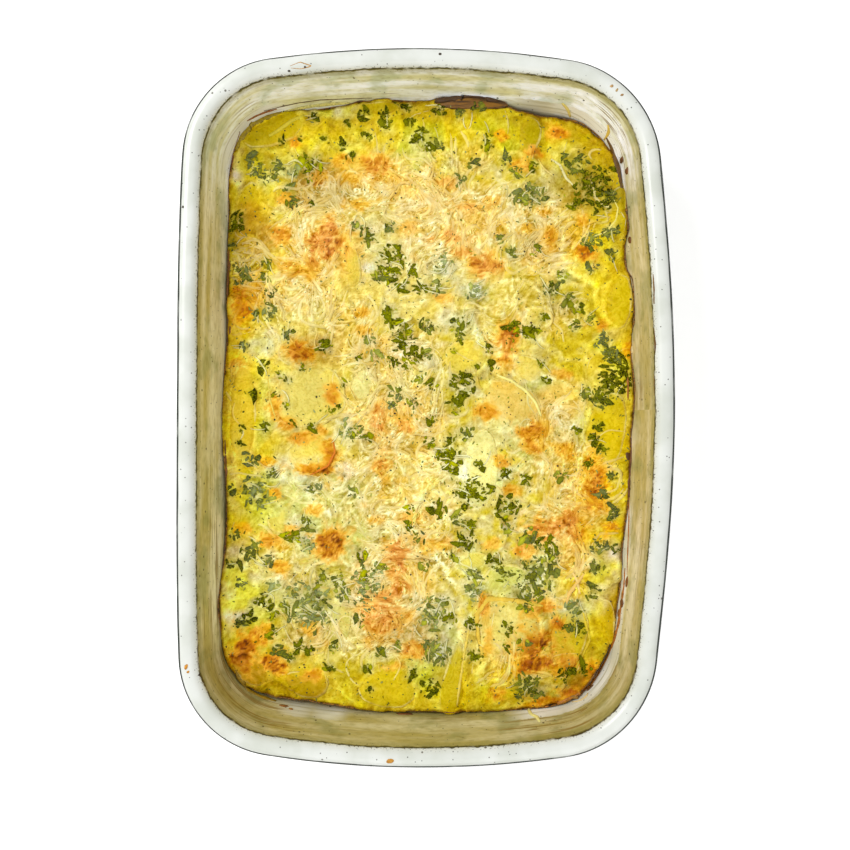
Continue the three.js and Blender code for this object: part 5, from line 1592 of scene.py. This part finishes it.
def leaf_chip(random, x, y, size, surface, sunk):
    """One chopped bit of leaf, an uneven flat shape that lies on the surface."""
    sides = int(random.integers(5, 9)) if size > BROAD_FROM else int(random.integers(4, 6))
    angles = random.uniform(0, 2 * math.pi) + np.linspace(0, 2 * math.pi, sides, endpoint=False)
    angles = angles + random.uniform(-0.6, 0.6, sides) / sides * 2
    reach = size / 2 * random.uniform(0.65, 1.25, sides)
    stretch = random.uniform(1.0, 2.2)
    dx, dy = reach * np.cos(angles) * stretch, reach * np.sin(angles) / stretch**0.6
    spin = random.uniform(0, 2 * math.pi)
    rx, ry = dx * math.cos(spin) - dy * math.sin(spin), dx * math.sin(spin) + dy * math.cos(spin)
    base = surface.at(x + rx, y + ry) + LEAF_LIFT - sunk
    curl = np.clip(0.08 * size * random.uniform(-0.6, 1.0, sides), -0.1, 0.25)
    rim = np.column_stack([x + rx, y + ry, base + curl])
    middle_z = float(surface.at(x, y)) + LEAF_LIFT + LEAF_CROWN - sunk
    points = np.vstack([rim, [[x, y, middle_z], [x, y, middle_z - LEAF_THICKNESS]]])
    return points, fan(sides, 0, sides) + fan(sides + 1, 0, sides, turned=True)


def leaf_places(random):
    """Bits of leaf: large ones that make up each clump, small ones round it, and strays."""
    chips = []
    for px, py, reach, veil in PARSLEY:
        cx, cy = seen(px, py)
        area = reach**1.9
        shade = random.uniform(0, 1)
        kinds = ((0.5 + 0.13 * area, 2.6, 4.2), (1 + 0.5 * area, 1.4, 2.6), (2 + 1.0 * area, 0.5, 1.4))
        for number, small, large in kinds:
            for _ in range(int(number * (1 - 0.5 * veil))):
                away, towards = reach * 1.1 * random.uniform() ** 0.7, random.uniform(0, 2 * math.pi)
                x, y = cx + away * math.cos(towards), cy + away * math.sin(towards)
                chips.append((x, y, random.uniform(small, large), veil, shade))
    for _ in range(STRAY_LEAVES):
        x, y = random.uniform(-102, 102), random.uniform(-152, 152)
        chips.append((x, y, random.uniform(0.4, 1.2), random.uniform(0, 0.6), random.uniform(0, 1)))
    return chips


def leaf_colour(random, veil, shade, from_edge):
    """One leaf's green: darker near the wall, and paler under a veil of cheese."""
    pick = random.uniform() ** (1.6 - shade)
    light = GREENS[2] if random.uniform() < 0.2 + 0.3 * shade else GREENS[1]
    green = mixed(GREENS[0], light, pick)
    share = veil * random.uniform(0.1, 1.2)
    green = green * (0.5 + 0.8 * smooth(6.0, 36.0, from_edge))
    return green * (1 - share) + VEILED_GREEN * share


def build_parsley(surface, inside):
    random = np.random.default_rng(LEAF_SEED)
    parts = []
    for x, y, size, veil, shade in leaf_places(random):
        if inside.at(x, y) < size * 0.5 + 0.3:
            continue
        chip, faces = leaf_chip(random, x, y, size, surface, 0.25 * veil)
        green = leaf_colour(random, veil, shade, inside.at(x, y))
        colours = np.vstack([np.tile(green * 0.8, (len(chip) - 2, 1)), np.tile(green * 1.5, (2, 1))])
        parts.append((chip, faces, colours))
    made = joined_pieces(parts, "chopped_parsley", smooth_faces=False)
    plan_map(made)
    return made


# Ground pepper.
PEPPER_COUNT = 900
GRAIN_POINTS = np.array([[1, 0, 0], [0, 1, 0], [-1, 0, 0], [0, -1, 0], [0, 0, 1], [0, 0, -1]], dtype=float)
GRAIN_FACES = ((4, 0, 1), (4, 1, 2), (4, 2, 3), (4, 3, 0), (5, 1, 0), (5, 2, 1), (5, 3, 2), (5, 0, 3))
GRAIN_LIFT = 0.12
PEPPER_TONES = (linear(44, 30, 12), linear(104, 74, 30))


def build_pepper(surface, inside):
    """Ground pepper: dark eight-sided grains, half sunk."""
    random = np.random.default_rng(PEPPER_SEED)
    parts = []
    while len(parts) < PEPPER_COUNT:
        x, y = random.uniform(-102, 102), random.uniform(-153, 153)
        if inside.at(x, y) < 1.0:
            continue
        size = random.uniform(0.2, 0.5) if random.uniform() < 0.88 else random.uniform(0.5, 0.75)
        grain = GRAIN_POINTS * size * random.uniform(0.55, 1.0, (6, 1)) * np.array([1, 1, 0.7])
        tone = PEPPER_TONES[0] if random.uniform() < 0.6 else PEPPER_TONES[1]
        place = [x, y, float(surface.at(x, y)) + GRAIN_LIFT]
        parts.append((grain + place, GRAIN_FACES, np.tile(tone, (6, 1))))
    return joined_pieces(parts, "ground_pepper", smooth_faces=False)


# Burnt edge along the wall.
CRUST_STEPS = (120, 60, 70)
CRUST_SIDES = 6
CRUST_TONES = (linear(92, 58, 12), linear(186, 128, 30))


def build_crust():
    samples = outline_samples(*CRUST_STEPS)
    x, y = outline_at(samples, wall_inset(TOP_HEIGHT)).T
    low = FORM.at(*outline_at(samples, wall_inset(TOP_HEIGHT) + 3.0).T)
    back = pulled_back(x, y)
    thick = 0.55 + 0.45 * noise("crust_width", x, y)
    thick = np.clip(thick + 0.5 * smooth(0.25, 0.7, noise("crust_bulk", x, y)), 0.25, 1.5)
    height = low - 0.9 + 0.5 * noise("crust_height", x, y)
    rings = []
    for k in range(CRUST_SIDES):
        angle = 2 * math.pi * k / CRUST_SIDES
        off = back + 0.25 + thick * (0.5 - 0.5 * math.cos(angle))
        z = height + 0.8 * thick * math.sin(angle)
        rings.append(np.column_stack([outline_at(samples, wall_inset(z) + off), z]))
    points = np.vstack(rings)
    made = make_mesh("burnt_edge", points, ring_faces(CRUST_SIDES, len(samples), closed=True))
    paint(made, mixed(*CRUST_TONES, 0.5 + 0.5 * noise("crust_tone", points[:, 0], points[:, 1])))
    return made


# Things that lie where the photograph shows them, each where its line of sight meets the dish or the food.
class Sight:
    """Lines of sight through the photograph's pixels onto the meshes built so far."""

    def __init__(self, pieces):
        self.tree = ray_tree(pieces)
        self.eye = Vector((CAMERA_X, CAMERA_Y, DISH_HEIGHT + CAMERA_ABOVE_RIM))

    def landing(self, px, py):
        """The place seen at a pixel, and the way its surface faces."""
        right, up = (px - VIEW_MIDDLE_PX) * RIM_MM_PER_PX, (VIEW_MIDDLE_PX - py) * RIM_MM_PER_PX
        cos, sin = math.cos(math.radians(CAMERA_ROLL)), math.sin(math.radians(CAMERA_ROLL))
        towards = Vector((right * cos - up * sin, right * sin + up * cos, -CAMERA_ABOVE_RIM))
        place, normal = self.tree.ray_cast(self.eye, towards)[:2]
        if place is None:
            raise ValueError(f"nothing is seen at {px}, {py}")
        return np.array(place), np.array(normal) * (1 if normal.z > 0 else -1)


# Burnt bands on the wall and along the food: width in millimetres, height share, tone, way in pixels.
STUCK_BANDS = (
    (2.6, 0.5, (112, 66, 18), ((631, 438), (631, 452), (630, 470), (629, 484), (629, 497))),
    (1.3, 0.5, (184, 112, 26), ((629, 498), (629, 520), (628, 545), (627, 575))),
    (2.2, 0.6, (180, 108, 24), ((625, 568), (624, 586), (621, 606), (619, 622), (614, 641), (607, 658),
        (598, 674))),
    (2.0, 0.6, (196, 126, 34), ((600, 672), (590, 686), (577, 695), (562, 702), (545, 707))),
    (3.4, 0.4, (104, 72, 18), ((606, 137), (611, 147), (615, 158), (619, 172), (622, 188))),
    (1.6, 0.5, (176, 110, 30), ((627, 370), (628, 384), (628, 400))),
    (1.0, 0.3, (134, 98, 48), ((653, 274), (654, 290), (654, 304))),
    (1.2, 0.3, (120, 84, 36), ((654, 328), (655, 342), (655, 354))),
    (0.9, 0.3, (140, 104, 50), ((654, 374), (654, 396))),
    (0.5, 0.3, (206, 156, 84), ((290, 66), (300, 62), (312, 66), (301, 69), (291, 68))),
    (1.8, 0.5, (156, 92, 20), ((247, 121), (256, 116), (266, 112), (277, 109))),
    (4.0, 0.35, (176, 150, 12), ((236, 150), (240, 139), (247, 130), (256, 122), (266, 117), (280, 113))),
    (3.4, 0.3, (222, 212, 124), ((282, 112), (296, 109), (312, 106), (330, 104), (350, 103))),
    (3.6, 0.4, (84, 52, 10), ((435, 101), (446, 99), (458, 97), (470, 97), (484, 98), (498, 101))),
    (3.6, 0.35, (172, 136, 12), ((236, 670), (241, 681), (249, 690), (260, 696), (276, 701))),
    (0.9, 0.4, (100, 70, 20), ((264, 111), (280, 107), (298, 103), (320, 100), (345, 99), (372, 98))),
    (1.0, 0.5, (132, 80, 22), ((240, 132), (234, 150), (231, 172))),
    (1.2, 0.5, (134, 84, 26), ((229, 250), (228, 275), (227, 300))),
    (1.2, 0.5, (126, 78, 24), ((225, 440), (226, 465), (226, 490))),
)

# Shreds on wall and food, and pale strips along some slice edges as painted highlights: width, height share,
# tone, way in pixels.
SHREDS_AND_EDGE_HIGHLIGHTS = (
    (0.8, 0.5, (220, 204, 150), ((621, 212), (626, 220), (624, 231))),
    (2.4, 0.5, (226, 206, 118), ((562, 103), (566, 107), (569, 112), (570, 117))),
    (2.0, 0.5, (214, 182, 84), ((608, 125), (609, 131), (607, 136), (604, 140))),
    (2.6, 0.5, (226, 214, 134), ((528, 709), (531, 714), (537, 717), (540, 722))),
    (1.6, 0.6, (224, 196, 136), ((572, 702), (579, 701), (586, 697), (588, 693))),
    (1.5, 0.4, (224, 214, 150), ((551, 159), (560, 165), (566, 178), (574, 186))),
    (1.3, 0.6, (236, 222, 120), ((612, 196), (618, 208), (616, 220), (606, 232), (590, 238))),
    (2.6, 0.3, (222, 202, 62), ((269, 136), (279, 130), (291, 121), (304, 115))),
    (1.9, 0.5, (250, 236, 140), ((497, 375), (512, 381), (526, 391), (536, 403), (541, 416))),
    (1.0, 0.3, (236, 210, 90), ((270, 358), (268, 378), (270, 400), (276, 420))),
    (1.5, 0.6, (226, 130, 44), ((333, 440), (335, 452), (328, 466), (310, 475))),
    (3.2, 0.3, (232, 196, 74), ((483, 656), (478, 636), (477, 614), (488, 599), (512, 600), (543, 606))),
    (1.6, 0.4, (232, 204, 60), ((583, 612), (590, 640), (576, 668))),
    (1.8, 0.5, (238, 210, 92), ((469, 630), (464, 655), (459, 690), (457, 706))),
    (2.2, 0.4, (238, 196, 108), ((584, 574), (577, 583), (569, 594), (566, 606))),
    (1.8, 0.4, (246, 212, 130), ((571, 570), (577, 580), (580, 594))),
)

# Lumps and crumbs: place in pixels, half sizes in millimetres, turn in degrees, tone.
STUCK_LUMPS = (
    (627, 582, 2.6, 1.2, 86, (134, 80, 24)), (622, 603, 2.2, 1.4, 60, (120, 70, 20)),
    (619, 613, 2.0, 1.2, 70, (146, 92, 28)), (590, 688, 2.4, 0.9, 20, (122, 80, 30)),
    (575, 697, 2.2, 1.0, -10, (166, 124, 50)), (630, 240, 1.4, 2.0, 0, (120, 72, 22)),
    (632, 350, 1.2, 2.0, 0, (226, 206, 150)), (622, 160, 1.6, 2.0, -20, (110, 66, 20)),
    (627, 171, 1.4, 1.8, 0, (128, 78, 24)), (612, 86, 0.9, 0.6, 30, (190, 150, 96)),
    (617, 90, 0.8, 0.6, 70, (206, 170, 110)), (622, 95, 0.9, 0.5, 10, (176, 136, 84)),
    (186, 667, 1.3, 0.8, 60, (220, 150, 40)), (188, 672, 0.8, 0.6, 20, (204, 140, 44)),
    (199, 675, 0.6, 0.6, 0, (60, 44, 30)), (390, 761, 2.0, 1.1, 5, (216, 150, 40)),
    (183, 207, 0.7, 0.6, 0, (66, 52, 36)), (305, 67, 0.6, 0.5, 0, (70, 54, 36)),
    (440, 54, 0.7, 0.6, 0, (64, 50, 34)), (289, 71, 0.7, 0.5, 0, (58, 46, 30)),
    (284, 706, 2.6, 1.0, -8, (150, 96, 30)), (291, 709, 1.4, 0.8, -8, (172, 118, 40)),
    (405, 714, 5.0, 0.9, -2, (128, 80, 28)), (226, 470, 0.9, 2.6, 0, (140, 88, 28)),
    (230, 330, 0.8, 2.2, 0, (150, 98, 34)), (229, 265, 0.9, 3.0, 0, (128, 80, 26)),
    (628, 455, 1.2, 3.0, 0, (96, 58, 18)),
)

STUCK_SECTION = ((-1.0, -0.2), (-0.5, 0.28), (0.0, 0.42), (0.5, 0.28), (1.0, -0.2))
STATION_PX = 2.5
LUMP_RINGS, LUMP_SIDES = 4, 9
LUMP_HEIGHT = 0.55


def joined_pieces(parts, name, smooth_faces=True):
    """One mesh from many small closed bodies, each with its own tone."""
    points, faces, colours, start = [], [], [], 0
    for body, body_faces, tone in parts:
        points.append(body)
        faces += [tuple(start + i for i in face) for face in body_faces]
        start += len(body)
        colours.append(tone)
    made = make_mesh(name, np.vstack(points), faces, smooth_faces)
    paint(made, np.vstack(colours))
    return made


def stuck_strand(sight, width, height, tone, way):
    """A ridge along a way through the photograph, lying on what is seen there."""
    way = np.array(way, dtype=float)
    run = run_along(way)
    stations = np.linspace(0, run[-1], max(5, int(run[-1] / STATION_PX)))
    landings = [sight.landing(np.interp(s, run, way[:, 0]), np.interp(s, run, way[:, 1])) for s in stations]
    places, normals = (np.array(rows) for rows in zip(*landings))
    side = unit_rows(np.cross(normals, np.gradient(places, axis=0)))
    half = tapered(width / 2, len(places), 0.2)
    half = half * (1 + 0.35 * noise("band_width", places[:, 0] + places[:, 1], places[:, 2]))
    rings = []
    for out, up in STUCK_SECTION:
        rings.append(places + side * (out * half)[:, None] + normals * (up * half * height * 2)[:, None])
    points = np.vstack(rings)
    # Painted shade across the ridge, darker at its edges, with noise in its tone.
    shade = (1 + 0.12 * noise("band_tone", points[:, 0], points[:, 1])) * np.repeat(SHRED_SHADE, len(places))
    return points, strip_faces(len(rings), len(places)), linear(*tone) * shade[:, None]


def stuck_lump(sight, px, py, half_x, half_y, turn, tone):
    """A small uneven lump that lies on what is seen at a pixel."""
    place, normal = sight.landing(px, py)
    cos, sin = math.cos(math.radians(turn)), math.sin(math.radians(turn))
    across = np.cross(normal, [cos, sin, 0.0])
    across /= np.linalg.norm(across)
    along = np.cross(across, normal)
    height = LUMP_HEIGHT * min(half_x, half_y)
    points = [place - normal * 0.3, place + normal * height]
    for ring in range(LUMP_RINGS):
        rise = ring / LUMP_RINGS
        reach = math.sqrt(1 - rise**2)
        for k in range(LUMP_SIDES):
            angle = 2 * math.pi * k / LUMP_SIDES
            noise_x, noise_y = px + 3 * math.cos(angle), py + 3 * math.sin(angle)
            uneven = 1 + 0.3 * float(noise("lump_outline", noise_x, noise_y))
            out = along * math.cos(angle) * half_x + across * math.sin(angle) * half_y
            points.append(place + out * reach * uneven + normal * (rise * height - 0.15 * (ring == 0)))
    last = 2 + (LUMP_RINGS - 1) * LUMP_SIDES
    faces = fan(0, 2, LUMP_SIDES, turned=True) + ring_faces(LUMP_RINGS, LUMP_SIDES, start=2)
    points = np.array(points)
    mottle = 1 + 0.3 * noise("lump_tone", points[:, 0] + points[:, 2], points[:, 1])
    return points, faces + fan(1, last, LUMP_SIDES), linear(*tone) * mottle[:, None]


# Small materials.
def leaf_material():
    m = Shader("parsley_leaf")
    veins = m.noise(1 / (0.7 * MM), 2.0, m.place())
    colour = m.mix(m.ramp(veins, 0.4, 0.7, 0.0, 0.5), m.stored("tint"), linear(160, 158, 0))
    m.bump(veins, 0.3, 0.2)
    return m.finished(colour, 0.7, 0.04)


def onion_material():
    m = Shader("dark_onion_skin")
    wrinkle = m.noise(1.0, 4.0, m.stretched(m.place(), (60.0, 500.0, 500.0)))
    colour = m.mix(m.ramp(wrinkle, 0.35, 0.65), linear(52, 28, 2), linear(146, 98, 20))
    m.bump(wrinkle, 0.7, 0.6)
    return m.finished(colour, 0.3)


def crumb_material(name, darkest=1.0):
    m = Shader(name)
    grain = m.noise(1 / (0.9 * MM), 3.0, m.place())
    colour = m.mix(m.ramp(grain, 0.35, 0.7, 0.0, darkest), m.stored("tint"), linear(40, 24, 8))
    m.bump(grain, 0.5, 0.3)
    return m.finished(colour, 0.55)


def floor_material():
    m = Shader("floor_white")
    colour = m.mix(m.noise(3.0, 2.0, m.place()), (0.93, 0.93, 0.93), (0.95, 0.95, 0.95))
    m.put(m.surface, "Emission Color", (1.0, 1.0, 1.0, 1.0))
    m.put(m.surface, "Emission Strength", 0.3)
    return m.finished(colour, 0.9)


# Stage.
FLOOR_HALF = 1500
FLOOR_DROP = 0.2
WORLD_COLOUR, WORLD_STRENGTH = (1.0, 0.995, 0.98, 1.0), 0.56

# Lights: name, place and size in metres, power in watts.
LAMPS = (("soft_box", (-0.75, 0.5, 1.0), 0.55, 9.5), ("fill", (0.2, -0.9, 0.9), 1.0, 4.5))


def soft_white_floor():
    half = FLOOR_HALF
    corners = [(-half, -half, 0), (half, -half, 0), (half, half, 0), (-half, half, 0)]
    floor = make_mesh("floor", corners, [(0, 1, 2, 3)])
    floor.location.z = -FLOOR_DROP * MM
    floor.data.materials.append(floor_material())


def add_area_light(name, place, size, power):
    light = bpy.data.lights.new(name, "AREA")
    light.shape = "DISK"
    light.size = size
    light.energy = power
    lamp = bpy.data.objects.new(name, light)
    lamp.location = place
    lamp.rotation_euler = (-Vector(place)).to_track_quat("-Z", "Y").to_euler()
    bpy.context.scene.collection.objects.link(lamp)


def light_and_camera():
    world = bpy.data.worlds.new("soft_studio")
    bpy.context.scene.world = world
    world.use_nodes = True
    background = world.node_tree.nodes["Background"]
    background.inputs["Color"].default_value = WORLD_COLOUR
    background.inputs["Strength"].default_value = WORLD_STRENGTH
    for lamp in LAMPS:
        add_area_light(*lamp)
    camera = bpy.data.cameras.new("camera")
    camera.sensor_width = SENSOR_WIDTH
    camera.lens = SENSOR_WIDTH / 2 * CAMERA_ABOVE_RIM / (VIEW_WIDTH_PX / 2 * RIM_MM_PER_PX)
    holder = bpy.data.objects.new("camera", camera)
    holder.location = (CAMERA_X * MM, CAMERA_Y * MM, (DISH_HEIGHT + CAMERA_ABOVE_RIM) * MM)
    holder.rotation_euler.z = math.radians(CAMERA_ROLL)
    bpy.context.scene.collection.objects.link(holder)
    bpy.context.scene.camera = holder
    bpy.context.scene.view_settings.view_transform = "Standard"


def finish_piece(piece, material, slot, *replaced):
    piece.data.materials.append(material)
    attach(piece, "root")
    if replaced:
        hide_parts(*replaced)
    return piece


def add_slices():
    """Every slice, then the onion strip: how each lies, and its piece."""
    potato = food_material("baked_potato", 0.34, 0.25, 0.4, 0.15, True)
    slices, pieces = [], []
    for name, (towards, spread, tone, edge_width, rim) in SLICE_LOOKS.items():
        slices.append(Slice(name, towards, spread, edge_width, rim))
        pieces.append(finish_piece(build_slice(slices[-1], tone), potato, "potato", name))
    slices.append(Slice("onion_strip", 90, 180, 1.0, 0.0, 1.6))
    onion = build_slice(slices[-1], "amber")
    pieces.append(finish_piece(onion, onion_material(), "dark_onion", "onion_strip"))
    return slices, pieces


def add_strands(slices, surface, depth, material):
    """Shreds by the kinds listed, then the few that lie over the herbs."""
    bare_slices = np.max([piece.shield(MESH_X, MESH_Y) for piece in slices], axis=0)
    open_ground = Grid(1 - 0.85 * bare_slices)
    for name, seed, count, lengths, widths, tone, field in STRAND_KINDS:
        random = np.random.default_rng(seed)
        paths = strand_paths(random, open_starts(random, count, depth, open_ground), depth, lengths, field)
        shreds = build_strands(name, paths, random, widths, STRAND_LIFTS, tone, STRAND_OWN_SHARE, surface)
        finish_piece(shreds, material, "baked_cheese")
    random = np.random.default_rng(HERB_SHREDS_SEED)
    name, lengths, *look = HERB_STRANDS
    paths = strand_paths(random, herb_starts(random, depth), depth, lengths)
    finish_piece(build_strands(name, paths, random, *look, surface), material, "baked_cheese")


def main():
    light_and_camera()
    soft_white_floor()
    dish = finish_piece(build_dish(), glaze_material(), "glazed_stoneware", "dish")
    slices, slice_pieces = add_slices()
    gratin, top, depth = build_gratin(slices)
    cheese = food_material("melted_cheese", 0.44, 0.5, 0.5, 0.1, True)
    finish_piece(gratin, cheese, "baked_cheese", "gratin")

    surface = upper_surface(top, slices)
    strand = food_material("cheese_shreds", 0.42, 0.15, 0.2, 0.1, False)
    add_strands(slices, surface, depth, strand)
    finish_piece(build_parsley(surface, depth), leaf_material(), "baked_cheese")
    finish_piece(build_pepper(surface, depth), crumb_material("pepper_grains"), "dark_onion")
    crust = finish_piece(build_crust(), crumb_material("burnt_crust"), "dark_onion")

    sight = Sight([dish, *slice_pieces, gratin, crust])
    baked_on = [stuck_strand(sight, *row) for row in STUCK_BANDS]
    baked_on += [stuck_lump(sight, *row) for row in STUCK_LUMPS]
    finish_piece(joined_pieces(baked_on, "baked_on_bits"), crumb_material("baked_on", 0.45), "baked_cheese")
    # Shreds, and pale strips that are painted highlights along slice edges.
    placed = [stuck_strand(sight, *row) for row in SHREDS_AND_EDGE_HIGHLIGHTS]
    finish_piece(joined_pieces(placed, "placed_shreds_and_highlights"), strand, "baked_cheese")


main()
